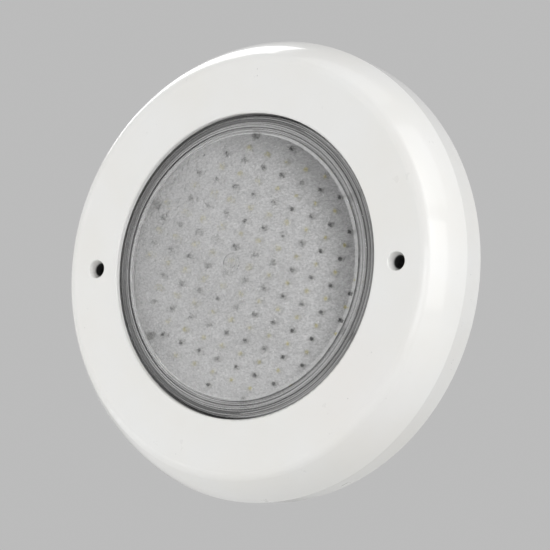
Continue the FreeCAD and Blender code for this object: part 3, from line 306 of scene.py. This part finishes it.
def board_mask(name, colour):
    """White solder mask with clouding and the faint lines of the tracks under it."""
    paint = Paint(name, colour, 0.42)
    lines = paint.wave(TRACK_SCALE, place=paint.stretched((1, 1, 1), GRAIN_SLANT), bands_direction="Z")
    track = paint.span(lines, 0.86, 0.93)
    base = paint.blend(paint.uneven(0.02), shaded(colour, 0.9), colour)
    paint.colour(paint.blend(paint.span(track, 0, 1, 0, 0.25), base, shaded(colour, 0.7)))
    paint.roughness(paint.uneven(0.006, 0.35, 0.5))
    paint.bump(track, 0.00004)
    return paint.material


def winding_wire(name):
    """Enamelled copper wire, wound in even turns."""
    paint = Paint(name, (0.55, 0.22, 0.08), 0.3, Metallic=0.8)
    wire = paint.wave(WIRE_SCALE, 0.4, bands_direction="Y")
    paint.colour(paint.blend(wire, (0.25, 0.08, 0.03), (0.62, 0.27, 0.1)))
    paint.roughness(paint.uneven(0.003, 0.22, 0.4))
    paint.bump(wire, 0.0001)
    return paint.material


# ---------------------------------------------------------------- shapes

def spot(radius, angle, level):
    """Point in metres from radius and level in millimetres and an angle."""
    return Vector((radius * math.cos(angle), -level, radius * math.sin(angle))) * MM


class Shape:
    """Points and faces gathered for one mesh; each face keeps the number of its material."""

    def __init__(self):
        self.points = []
        self.faces = []
        self.kinds = []

    def loop(self, points):
        """Add a closed loop of points; returns their numbers."""
        first = len(self.points)
        self.points.extend(points)
        return list(range(first, first + len(points)))

    def face(self, corners, kind=0):
        self.faces.append(corners)
        self.kinds.append(kind)

    def bridge(self, loop, other, kind=0):
        """Faces between two loops with the same number of points."""
        count = len(loop)
        for index in range(count):
            after = (index + 1) % count
            self.face((loop[index], loop[after], other[after], other[index]), kind)

    def cap(self, loop, middle, kind=0):
        """Fan from a loop to one point."""
        centre = self.loop([middle])[0]
        count = len(loop)
        for index in range(count):
            self.face((loop[index], loop[(index + 1) % count], centre), kind)

    def skin(self, loops, kind=0, closed=False):
        """Faces between each loop and the next; a closed skin ends where it starts."""
        for loop, other in zip(loops, loops[1:] + loops[:1] * closed):
            self.bridge(loop, other, kind)

    def sheet(self, side, place, kind=0):
        """Even grid laid over a disc; place(x, z) gives the point for a place of the unit disc.

        Returns the rim's numbers, in order from -45 degrees; there are 4 * side of them."""
        grid = []
        for row in range(side + 1):
            b = 2 * row / side - 1
            spots = [disc_place(2 * column / side - 1, b) for column in range(side + 1)]
            grid.append(self.loop([place(x, z) for x, z in spots]))
        for low, high in zip(grid, grid[1:]):
            for column in range(side):
                self.face((low[column], low[column + 1], high[column + 1], high[column]), kind)
        right = [row[side] for row in grid[:side]]
        top = grid[side][side:0:-1]
        left = [row[0] for row in grid[side:0:-1]]
        bottom = grid[0][:side]
        return right + top + left + bottom

    def block(self, low, high, bevel, turn, shift, kind=0):
        """Bevelled block between two corners in millimetres, turned about Y, then moved by metres."""
        mesh = bmesh.new()
        bmesh.ops.create_cube(mesh, size=1)
        for vertex in mesh.verts:
            part = [(a + b) / 2 + (b - a) * c for a, b, c in zip(low, high, vertex.co)]
            vertex.co = Vector(part)
        bmesh.ops.bevel(mesh, geom=mesh.edges[:], offset=bevel, segments=2, affect="EDGES", profile=0.5)
        numbers = self.loop([turn @ (vertex.co * MM) + shift for vertex in mesh.verts])
        for face in mesh.faces:
            self.face(tuple(numbers[vertex.index] for vertex in face.verts), kind)
        mesh.free()

    def piece(self, name, materials, body, node, sharp=40):
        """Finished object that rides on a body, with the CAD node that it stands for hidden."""
        mesh = bpy.data.meshes.new(name)
        mesh.from_pydata(self.points, [], self.faces)
        for face, kind in zip(mesh.polygons, self.kinds):
            face.material_index = kind
        for material in materials:
            mesh.materials.append(material)
        work = bmesh.new()
        work.from_mesh(mesh)
        bmesh.ops.recalc_face_normals(work, faces=work.faces[:])
        work.to_mesh(mesh)
        work.free()
        mesh.shade_smooth()
        mesh.set_sharp_from_angle(angle=math.radians(sharp))
        thing = bpy.data.objects.new(name, mesh)
        bpy.context.scene.collection.objects.link(thing)
        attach(thing, body)
        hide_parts(node)


def disc_place(a, b):
    """Place in the unit disc for a place in the square from -1 to 1, keeping areas even."""
    if a == 0 and b == 0:
        return 0.0, 0.0
    if abs(a) > abs(b):
        radius, angle = a, math.pi / 4 * b / a
    else:
        radius, angle = b, math.pi / 2 - math.pi / 4 * a / b
    return radius * math.cos(angle), radius * math.sin(angle)


def rim_angles(count):
    """Angles of the points round a sheet's rim, in the order in which it returns them."""
    return [math.tau * (step / count - 1 / 8) for step in range(count)]


def rounded(corners, steps=2):
    """Profile from (radius, level, blend) corners, each softened over its blend length."""
    points = []
    last = len(corners) - 1
    for index, (radius, level, blend) in enumerate(corners):
        here = Vector((radius, level))
        if blend == 0 or index in (0, last):
            points.append(here)
            continue
        start = here + (Vector(corners[index - 1][:2]) - here).normalized() * blend
        end = here + (Vector(corners[index + 1][:2]) - here).normalized() * blend
        for step in range(steps + 1):
            t = step / steps
            points.append(start.lerp(here, t).lerp(here.lerp(end, t), t))
    return [tuple(point) for point in points]


def dome(edge, apex_level, edge_level):
    """Level over a radius for a spherical dome with this edge and apex."""
    rise = apex_level - edge_level
    curve = (edge ** 2 + rise ** 2) / (2 * rise)
    return lambda radius: apex_level - curve + math.sqrt(curve ** 2 - radius ** 2)


# ---------------------------------------------------------------- lens

GATE_LEVEL = front("lens")              # raised mark in the middle of the dome
GATE_RADIUS = 2.9
GATE_GROOVE = 0.32                      # depth of the two fine grooves round the mark
GATE_HOLLOW = 0.12                      # depth of the hollow in the mark
DOME_APEX = GATE_LEVEL - 0.2
DOME_EDGE = 83.6
DOME_EDGE_LEVEL = 42.0
INNER_EDGE = 82.6
INNER_EDGE_LEVEL = 38.9
LENS_WALL = 3.2                         # thickness of the dome on the axis

UNDERSIDE = 37.0                        # level under the stepped rim
SKIRT = 87.4
RIM_WALL = 93.7                         # radius of the rim's outer wall
FLANGE_FRONT = 36.8
OUTER_STEP = 40.7                       # levels of the stepped rim, from the outside in
GUTTER = 39.9
RIB = 41.3
LEDGE = 40.3
NICK = 0.4                              # depth of the fine grooves in rib and ledge
RIM_LINE_PITCH = 0.084 / 32             # metres between the fine dark lines painted in the rim as its shade and reflections

PEBBLE_SIZE = 2.3
PEBBLE_STRETCH = 1.25                   # how much longer a pebble is along the slant
PEBBLE_SLANT = math.radians(-20)
PEBBLE_DEPTH = 0.22
PEBBLE_MARGIN = 1.5                     # width over which the pebbles rise from the disc's edge
PEBBLE_SIDE = 168                       # cells along one side of the pebbled grid
FLUTES = 168                            # short radial flutes under the dome's edge
FLUTE_DEPTH = 0.35


def pebble(x, z):
    """Height of the pebbled pattern, 0 to 1, at a place in millimetres."""
    along = x * math.cos(PEBBLE_SLANT) + z * math.sin(PEBBLE_SLANT)
    across = z * math.cos(PEBBLE_SLANT) - x * math.sin(PEBBLE_SLANT)
    wander = 0.5 * noise.noise(Vector((x, z, 7)) * 0.11)
    place = Vector((along / (PEBBLE_SIZE * PEBBLE_STRETCH) + wander, across / PEBBLE_SIZE - wander, 0.37))
    nearest = noise.voronoi(place)[0][0]
    return max(0.0, 1 - nearest ** 2 * 1.6)


def rim_profile(outside):
    """Profile of the lens from under the dome's edge, round skirt, flange and steps, and onto the dome."""
    flange = reach("lens")
    flange_back = back("lens")
    dome_start = 82.0
    underneath = [(DOME_EDGE, UNDERSIDE, 0), (SKIRT, UNDERSIDE, 0.3), (SKIRT, flange_back, 0.2)]
    flange_edge = [(flange, flange_back, 0.3), (flange, FLANGE_FRONT, 0.3), (RIM_WALL, FLANGE_FRONT, 0.3)]
    lip = [(RIM_WALL, 39.3, 0.4), (92.9, 40.1, 0.15), (92.6, 39.8, 0.12)]
    step = [(91.9, OUTER_STEP, 0.3), (90.7, OUTER_STEP, 0.3), (90.2, GUTTER, 0.25), (89.4, GUTTER, 0.25)]
    rib = [(88.9, RIB, 0.3), (88.2, RIB, 0.15), (87.9, RIB - NICK, 0.15), (87.5, RIB, 0.15), (86.7, RIB, 0.4)]
    ledge = [(86.1, LEDGE, 0.25), (85.5, LEDGE, 0.15), (85.2, LEDGE - NICK, 0.15), (84.8, LEDGE, 0.15),
             (84.2, LEDGE, 0.3)]
    edge = [(DOME_EDGE, DOME_EDGE_LEVEL, 0.35), (dome_start, outside(dome_start), 0)]
    return rounded(underneath + flange_edge + lip + step + rib + ledge + edge)


def crown_profile(outside):
    """Profile of the dome from its edge to the gate mark, with two fine grooves round the mark."""
    def groove(radius):
        return outside(radius) - GATE_GROOVE

    smooth = [(radius, outside(radius)) for radius in (76, *range(70, 7, -7), 9, 6.25)]
    fine = [(6.0, groove(6.0)), (5.7, groove(5.7)), (5.4, outside(5.4))]
    hollow = GATE_LEVEL - GATE_HOLLOW
    mark = rounded([(4.2, outside(4.2), 0), (3.8, groove(3.8), 0.1),
                    (GATE_RADIUS + 0.1, groove(GATE_RADIUS), 0.1), (GATE_RADIUS - 0.2, GATE_LEVEL, 0.1),
                    (1.9, GATE_LEVEL, 0.1), (1.6, hollow, 0.1), (0.6, hollow, 0)])
    return smooth + fine + mark


def lens():
    """Clear dome, pebbled inside, with flutes and two steps round it, skirt and clamped flange."""
    shape = Shape()
    inside = dome(INNER_EDGE, DOME_APEX - LENS_WALL, INNER_EDGE_LEVEL)
    outside = dome(DOME_EDGE, DOME_APEX, DOME_EDGE_LEVEL)

    def pebbled(x, z):
        radius = math.hypot(x, z) * INNER_EDGE
        fade = min(1.0, (INNER_EDGE - radius) / PEBBLE_MARGIN)
        fade *= max(0.35, 1 + 0.9 * (z - x))        # flattest at the lower right
        height = PEBBLE_DEPTH * fade * pebble(x * INNER_EDGE, z * INNER_EDGE)
        return Vector((x * INNER_EDGE, height - inside(min(radius, INNER_EDGE)), z * INNER_EDGE)) * MM

    disc = shape.sheet(PEBBLE_SIDE, pebbled, kind=1)
    angles = rim_angles(len(disc))

    def turned(profile):
        return [shape.loop([spot(radius, angle, level) for angle in angles]) for radius, level in profile]

    flutes = [UNDERSIDE + FLUTE_DEPTH * (0.5 + 0.5 * math.cos(angle * FLUTES)) for angle in angles]
    fluted = shape.loop([spot(DOME_EDGE, angle, level) for angle, level in zip(angles, flutes)])
    rim = turned(rim_profile(outside)[1:])
    shape.skin([disc, fluted] + rim, 0)
    crown = turned(crown_profile(outside))
    shape.skin(rim[-1:] + crown, 2)
    shape.cap(crown[-1], spot(0, 0, GATE_LEVEL - 0.1), 2)

    # the rim and the dome carry painted shade of the face ring's lip
    polished = clear_plastic("clear_polycarbonate", rough=0.03, grain=0.004, depth=0.00001, cloud=0.02,
                             clearness=0.84, lip_shade=0.25, lit_side=(-0.022, 0.010),
                             line_pitch=RIM_LINE_PITCH)
    rippled = clear_plastic("clear_polycarbonate_pebbled", rough=0.06, grain=0.0011, depth=0.00005,
                            cloud=0.25)
    satin = clear_plastic("clear_polycarbonate_dome", rough=0.2, grain=0.0014, depth=0.00006, cloud=0.32,
                          lip_shade=0.6, lit_side=(-0.022, -0.014))
    shape.piece("lens_optic", [polished, rippled, satin], "lamp_unit", "lens")


# ---------------------------------------------------------------- LEDs

ROW_PITCH = 15.0
COLUMN_PITCH = 17.2
TILT = math.radians(-20)
LED_REACH = 77.6
BOARD = front("led_board")
LED_HEIGHT = front("white_leds") - BOARD
HALF_LENGTH = 1.62                      # of a package at its foot
HALF_WIDTH = 1.40
CUP_HALF_WIDTH = 1.18
PIN_PITCH = 0.9
PIN_NEAR, PIN_FAR = 1.45, 1.75          # the pins' reach from the package's middle
PIN_HALF_WIDTH = 0.3


def led_places(shift):
    """Places of one kind of LED in millimetres, as the frame has them."""
    row = Vector((math.cos(TILT), 0, math.sin(TILT))) * ROW_PITCH
    column = Vector((-math.sin(TILT), 0, math.cos(TILT))) * COLUMN_PITCH
    most = int(LED_REACH / ROW_PITCH) + 1
    for across in range(-most, most + 1):
        for along in range(-most, most + 1):
            place = row * along + column * (across + shift)
            if place.length <= LED_REACH:
                yield place


def package_loop(half_length, half_width, power, height):
    """Rounded outline of a package: a high power is nearly a rectangle, 2 is an ellipse."""
    points = []
    count = 32
    for step in range(count):
        angle = math.tau * (step + 0.5) / count
        cosine, sine = math.cos(angle), math.sin(angle)
        points.append(Vector((math.copysign(abs(cosine) ** (2 / power), cosine) * half_length, -height,
                              math.copysign(abs(sine) ** (2 / power), sine) * half_width)))
    return points


def leds(name, node, materials, shift, pins, cup, power):
    """LED packages with a cup, a domed window in it and soldered pins at both ends.

    materials are those of package, window and pins; cup is the cup's half length and power its
    outline: 2 is round, more is squarer."""
    shape = Shape()
    turn = Matrix.Rotation(-TILT, 3, "Y")
    top = LED_HEIGHT

    def wall(margin, squareness, depth):
        return HALF_LENGTH - margin, HALF_WIDTH - margin, squareness, top - depth

    def hollow(margin, depth):
        return cup - margin, CUP_HALF_WIDTH - margin, power, top - depth

    floor, foot, tip = 0.4, 0.36, 0.02      # depths of the cup's floor, the window's foot and its tip
    outline = [wall(0, 9, top), wall(0, 9, 0.2), wall(0.04, 8, 0.05), wall(0.10, 7, 0),
               hollow(-0.06, 0), hollow(0, 0.06), hollow(0.23, floor)]
    bulb = [hollow(0.21, foot), hollow(0.08, 0.2), hollow(0.14, 0.08), hollow(0.58, 0.03)]
    for place in led_places(shift):
        origin = (place - Vector((0, BOARD, 0))) * MM
        for profile, kind, ends in ((outline, 0, (top, floor)), (bulb, 1, (foot, tip))):
            loops = [shape.loop([turn @ (point * MM) + origin for point in package_loop(*ring)])
                     for ring in profile]
            shape.skin(loops, kind)
            for loop, depth in ((loops[0], ends[0]), (loops[-1], ends[1])):
                shape.cap(loop, turn @ (Vector((0, depth - top, 0)) * MM) + origin, kind)
        for side in (-1, 1):
            left, right = sorted((side * PIN_NEAR, side * PIN_FAR))
            for pin in range(pins):
                z = (pin - (pins - 1) / 2) * PIN_PITCH
                shape.block((left, -0.5, z - PIN_HALF_WIDTH), (right, -0.02, z + PIN_HALF_WIDTH),
                            0.08, turn, origin, 2)
    shape.piece(name, materials, "lamp_unit", node)


# ---------------------------------------------------------------- screws

SCREWS = 6                              # in each ring of pan-head screws
HEAD_RADIUS = 2.6
HEAD_HEIGHT = 2.0
CROWN_SHARE = 0.94                      # part of the head's radius that its crowned top covers
RECESS_DEPTH = 1.1
SHANK = 1.2
SCREW_STEP = 0.35                       # level between one loop of the screw's thread and the next
SCREW_RIDGE = 0.22
BODY_SCREW_RING, BODY_SCREW_TIP = 109.0, 38.2
BOARD_SCREW_RING, BOARD_SCREW_TIP = 83.0, 21.0


def cross_recess(x, z):
    """Depth of a cross recess, 0 to 1, at a place of the unit disc."""
    near, far = sorted((abs(x), abs(z)))
    arm = min(1.0, max(0.0, (0.17 - near) / 0.06))
    end = min(1.0, max(0.0, (0.62 - far) / 0.22))
    return arm * end


def pan_screws(name, node, steel, offset, seat, tip, forward):
    """Pan-head screws with cross recesses round the axis; forward is +1 when the heads face the front."""
    shape = Shape()
    for number in range(SCREWS):
        angle = math.pi / 2 + math.tau * number / SCREWS
        middle = Vector((offset * math.cos(angle), 0, offset * math.sin(angle)))
        twist = number * 1.1

        def crown(x, z):
            crowned = HEAD_HEIGHT * (1 - 0.28 * (x * x + z * z) ** 1.6)
            u = x * math.cos(twist) + z * math.sin(twist)
            v = z * math.cos(twist) - x * math.sin(twist)
            level = seat + forward * (crowned - RECESS_DEPTH * cross_recess(u, v))
            size = HEAD_RADIUS * CROWN_SHARE
            return (middle + Vector((size * x, -level, size * z))) * MM

        loops = [shape.sheet(24, crown)]
        corners = rim_angles(len(loops[0]))
        profile = [(HEAD_RADIUS, seat + forward * HEAD_HEIGHT * 0.52), (HEAD_RADIUS, seat), (SHANK, seat)]
        for step in range(int(abs(tip - seat) / SCREW_STEP) - 1):
            profile.append((SHANK + SCREW_RIDGE * (step % 2), seat - forward * (0.3 + step * SCREW_STEP)))
        for radius, level in profile:
            loops.append(shape.loop([middle * MM + spot(radius, corner, level) for corner in corners]))
        shape.skin(loops)
        shape.cap(loops[-1], middle * MM + spot(0, 0, tip))
    shape.piece(name, [steel], "lamp_unit", node, sharp=50)


# ---------------------------------------------------------------- cable gland

FLATS = 22.0
HEX_CHAMFER, HEX_CORNER = 11.2, 13.2    # radii of a hexagon's chamfered end and of its corners
THREAD_RADIUS = 8.0
THREAD_DEPTH = 0.6
THREAD_PITCH = 1.5
THREAD_STEPS = 12                       # loops in one turn of the thread
CORD_WAY = 4.6
SEAL_POCKET = 6.25
STEM = 7.6                              # radius of the stem inside the lamp body
WASHER_FACE = 6.0                       # levels of the body's hexagon, front and back
HEX_BACK = 1.0
GROOVE_INNER, GROOVE_OUTER, GROOVE_BACK = 8.4, 10.2, 4.6    # groove of the sealing ring
NUT_BORE = 8.08
NUT_FACE = 10.6                         # radius of the nut's flat ends
NUT_FRONT, NUT_DOME, NUT_SEAT = -1.0, -11.0, -12.0          # levels of the nut's front, dome and inner seat


def hexagon(angle, cap):
    """Radius of a hexagon with softened corners, turned down to cap where that is smaller."""
    sides = [max(0.0, math.cos(angle - math.pi / 2 - side * math.pi / 3)) ** 70 for side in range(6)]
    flat = FLATS / 2 / sum(sides) ** (1 / 70)
    return (flat ** -60 + cap ** -60) ** (-1 / 60)


def thread(angle, level):
    """Radius of a right-hand thread."""
    turns = (level / THREAD_PITCH + angle / math.tau) % 1
    return THREAD_RADIUS - THREAD_DEPTH * min(1.0, max(0.0, abs(turns * 2 - 1) * 1.5 - 0.25))


def hex_rings(start, end, chamfer_start, chamfer_end):
    """Rings of a hexagon between two levels, with its corners chamfered at one or both ends."""
    steps = 5
    caps = []
    for share in [step / steps for step in range(steps + 1)]:
        chamfered = HEX_CHAMFER + (HEX_CORNER - HEX_CHAMFER) * share
        caps.append((share, chamfered))
    rings = [(chamfered if chamfer_start else HEX_CORNER, start + math.copysign(share, end - start))
             for share, chamfered in caps]
    rings += [(chamfered if chamfer_end else HEX_CORNER, end - math.copysign(share, end - start))
              for share, chamfered in reversed(caps)]
    return [(lambda angle, cap=cap: hexagon(angle, cap), level) for cap, level in rings]


def turned_loops(shape, rings, count):
    """Loops of points from (radius function or number, level) rings."""
    loops = []
    for radius, level in rings:
        loop = []
        for step in range(count):
            angle = math.tau * step / count
            loop.append(spot(radius(angle) if callable(radius) else radius, angle, level))
        loops.append(shape.loop(loop))
    return loops


def gland_nut(nylon):
    """Domed hexagon nut with softened corners, grip ribs on its dome and a flared mouth."""
    shape = Shape()
    end = back("gland_nut")

    def ribbed(base, share):
        return lambda angle: base - 0.22 * share * (0.5 - 0.5 * math.cos(angle * 24)) ** 2

    rings = [(NUT_BORE, NUT_FRONT), (NUT_FACE, NUT_FRONT)]
    rings += hex_rings(NUT_FRONT, NUT_DOME, True, True)
    for index in range(11):
        share = index / 10
        radius = NUT_FACE - 3.2 * share ** 2.1
        ribs = math.sin(math.pi * min(1.0, index / 9))
        rings.append((ribbed(radius, ribs), NUT_DOME + (end - NUT_DOME) * share))
    rings += [(7.0, end), (5.7, end), (5.5, end + 0.12), (4.85, end + 0.9), (4.8, -17.4), (6.4, NUT_SEAT),
              (NUT_BORE, NUT_SEAT)]
    shape.skin(turned_loops(shape, rings, 144), closed=True)
    shape.piece("gland_nut_moulding", [nylon], "gland_nut", "gland_nut", sharp=35)


def gland_body(nylon):
    """Hexagon and threaded stem with the way for the cable and the seal's pocket."""
    shape = Shape()
    inner = front("gland_body")
    outer = back("gland_body")
    rings = [(CORD_WAY, inner), (7.2, inner), (7.5, inner - 0.5)]
    rings += [(STEM, inner - 1.0), (STEM, 12.0), (STEM, WASHER_FACE)]
    rings += [(GROOVE_INNER, WASHER_FACE), (GROOVE_INNER, GROOVE_BACK), (GROOVE_OUTER, GROOVE_BACK),
              (GROOVE_OUTER, WASHER_FACE)]
    rings += hex_rings(WASHER_FACE, HEX_BACK, False, True)
    rings += [(9.0, HEX_BACK), (7.5, HEX_BACK)]
    for step in range(1, int((HEX_BACK - outer - 0.8) / THREAD_PITCH * THREAD_STEPS) + 1):
        level = HEX_BACK - step * THREAD_PITCH / THREAD_STEPS
        rings.append((lambda angle, level=level: thread(angle, level), level))
    rings += [(7.3, outer), (SEAL_POCKET, outer), (SEAL_POCKET, 2.0), (CORD_WAY, 2.0)]
    shape.skin(turned_loops(shape, rings, 120), closed=True)
    shape.piece("gland_body_moulding", [nylon], "lamp_unit", "gland_body", sharp=35)


# ---------------------------------------------------------------- CAD nodes that keep their shape

def dress(node, material):
    """Give a CAD node one material all over."""
    thing = NODES[node]
    if not thing.material_slots:
        thing.data.materials.append(material)
    for slot in thing.material_slots:
        slot.material = material


# ---------------------------------------------------------------- camera and studio

CAMERA_AZIMUTH, CAMERA_ELEVATION = 34.07, -6.57     # degrees, as seen from the lens opening
CAMERA_DISTANCE = 1.576
CAMERA_ROLL = math.radians(2.88)
LAMP_DISTANCE = 1.6
FLOOR_DROP = 0.3                        # from the ring's lowest point
FLOOR_EXTENT = 3.0

# name: azimuth, elevation, width, height, power
LAMPS = {
    "front": (34, -7, 1.0, 1.0, 4.3),
    "left": (-55, -9, 0.9, 0.9, 15.0),
    "right": (75, 5, 1.0, 1.0, 4.5),
    "right_high": (80, 45, 1.0, 1.0, 2.5),
    "right_strip": (71, 28, 0.06, 1.2, 6.0),
    "top": (0, 88, 1.0, 1.0, 1.5),
    "behind": (-115, 40, 1.0, 1.0, 6.0),
}


def aim(thing, place, target, roll=0.0):
    """Put a lamp or camera at place, looking at target."""
    look = (place - target).normalized()
    side = Vector((0, 0, 1)).cross(look).normalized()
    up = look.cross(side)
    right = side * math.cos(roll) + up * math.sin(roll)
    top = up * math.cos(roll) - side * math.sin(roll)
    turn = Matrix((right, top, look)).transposed().to_4x4()
    thing.matrix_world = Matrix.Translation(place) @ turn


def seen_from(azimuth, elevation, distance):
    """Point at these angles from the lens opening; 0 is straight in front, +90 to the right."""
    across, high = math.radians(azimuth), math.radians(elevation)
    away = Vector((math.sin(across) * math.cos(high), -math.cos(across) * math.cos(high), math.sin(high)))
    return CENTRE + away * distance


def make_camera():
    data = bpy.data.cameras.new("camera")
    data.sensor_width = 36
    data.lens = 167.35
    data.shift_x = 0.063
    data.shift_y = -0.018
    data.clip_start = 0.05
    camera = bpy.data.objects.new("camera", data)
    bpy.context.scene.collection.objects.link(camera)
    aim(camera, seen_from(CAMERA_AZIMUTH, CAMERA_ELEVATION, CAMERA_DISTANCE), CENTRE, CAMERA_ROLL)
    bpy.context.scene.camera = camera


def make_sky():
    world = bpy.data.worlds.new("studio")
    world.use_nodes = True
    sky = world.node_tree.nodes["Background"]
    sky.inputs["Color"].default_value = (1, 1, 1, 1)
    sky.inputs["Strength"].default_value = 0.5
    bpy.context.scene.world = world


def make_lamps():
    for name, (azimuth, elevation, width, height, power) in LAMPS.items():
        data = bpy.data.lights.new(name, "AREA")
        data.shape = "RECTANGLE"
        data.size = width
        data.size_y = height
        data.energy = power
        lamp = bpy.data.objects.new(name, data)
        lamp.visible_camera = False
        if name == "left":      # its image would cover the left of the dome
            lamp.visible_glossy = False
            lamp.visible_transmission = False
        bpy.context.scene.collection.objects.link(lamp)
        aim(lamp, seen_from(azimuth, elevation, LAMP_DISTANCE), CENTRE)


def make_floor():
    mesh = bpy.data.meshes.new("floor")
    corners = [(x * FLOOR_EXTENT, y * FLOOR_EXTENT, 0) for x, y in ((-1, -1), (1, -1), (1, 1), (-1, 1))]
    mesh.from_pydata(corners, [], [(0, 1, 2, 3)])
    mesh.materials.append(moulding("floor_paint", (0.74, 0.74, 0.73), 0.75, grain=0.01, contrast=0.03))
    floor = bpy.data.objects.new("floor", mesh)
    floor.location.z = RING_LOW.z - FLOOR_DROP
    bpy.context.scene.collection.objects.link(floor)


# ---------------------------------------------------------------- build

make_camera()
make_sky()
make_lamps()
make_floor()
bpy.context.scene.view_settings.view_transform = "Standard"

steel = metal("stainless_steel", (0.62, 0.62, 0.61), 0.28, stretch=(1, 6, 1))
rubber = moulding("epdm_rubber", (0.02, 0.02, 0.021), 0.6, contrast=0.3)
nylon = moulding("black_nylon", (0.022, 0.022, 0.023), 0.42, grain=0.0007, contrast=0.2)
natural = moulding("nylon_natural", (0.62, 0.60, 0.52), 0.45)
epoxy = moulding("black_epoxy", (0.02, 0.02, 0.02), 0.5)
package = moulding("led_package", (0.78, 0.78, 0.76), 0.35, grain=0.0005)
phosphor = moulding("led_phosphor", (0.74, 0.67, 0.28), 0.5, grain=0.0003, contrast=0.25)
dark_window = moulding("led_dark_window", (0.012, 0.012, 0.015), 0.4, grain=0.0003)
tin = metal("led_tin", (0.66, 0.66, 0.64), 0.35)

lens()
leds("white_led_packages", "white_leds", [package, phosphor, tin],
     shift=0.0, pins=1, cup=1.18, power=2)
leds("colour_led_packages", "colour_leds", [package, dark_window, tin],
     shift=0.5, pins=3, cup=1.4, power=4)
pan_screws("body_screws_steel", "body_screws", steel, BODY_SCREW_RING,
           seat=back("body_screws") + HEAD_HEIGHT, tip=BODY_SCREW_TIP, forward=-1)
pan_screws("led_board_screws_steel", "led_board_screws", steel, BOARD_SCREW_RING,
           seat=BOARD, tip=BOARD_SCREW_TIP, forward=1)
gland_body(nylon)
gland_nut(nylon)

looks = {
    "face_ring": white_plastic("white_abs", (0.80, 0.80, 0.79), 0.3, 0.9),
    "lamp_body": white_plastic("white_abs_body", (0.74, 0.74, 0.73), 0.38, 0.0),
    "led_board": board_mask("white_board", (0.82, 0.82, 0.82)),
    "lens_clamp_ring": steel,
    "lens_clamp_screws": steel,
    "terminal_screws": steel,
    "driver_board_screws": steel,
    "lens_gasket": rubber,
    "gland_o_ring": rubber,
    "gland_seal": rubber,
    "lens_screw_inserts": metal("brass_insert", (0.60, 0.42, 0.14), 0.3, stretch=(1, 0.1, 1)),
    "led_connector": natural,
    "gland_cage": natural,
    "gland_lock_nut": nylon,
    "led_leads": moulding("lead_insulation", (0.33, 0.02, 0.015), 0.45, grain=0.0008),
    "driver_board": moulding("circuit_board", (0.02, 0.12, 0.05), 0.35, grain=0.0006, contrast=0.3),
    "inductor_core": moulding("ferrite", (0.035, 0.035, 0.04), 0.7, grain=0.0005, contrast=0.35),
    "inductor_winding": winding_wire("copper_winding"),
    "capacitors": moulding("capacitor_can", (0.03, 0.04, 0.14), 0.3),
    "bridge_rectifier": epoxy,
    "driver_chip": epoxy,
    "terminal_block": moulding("terminal_green", (0.02, 0.20, 0.06), 0.45),
}
for node, material in looks.items():
    dress(node, material)
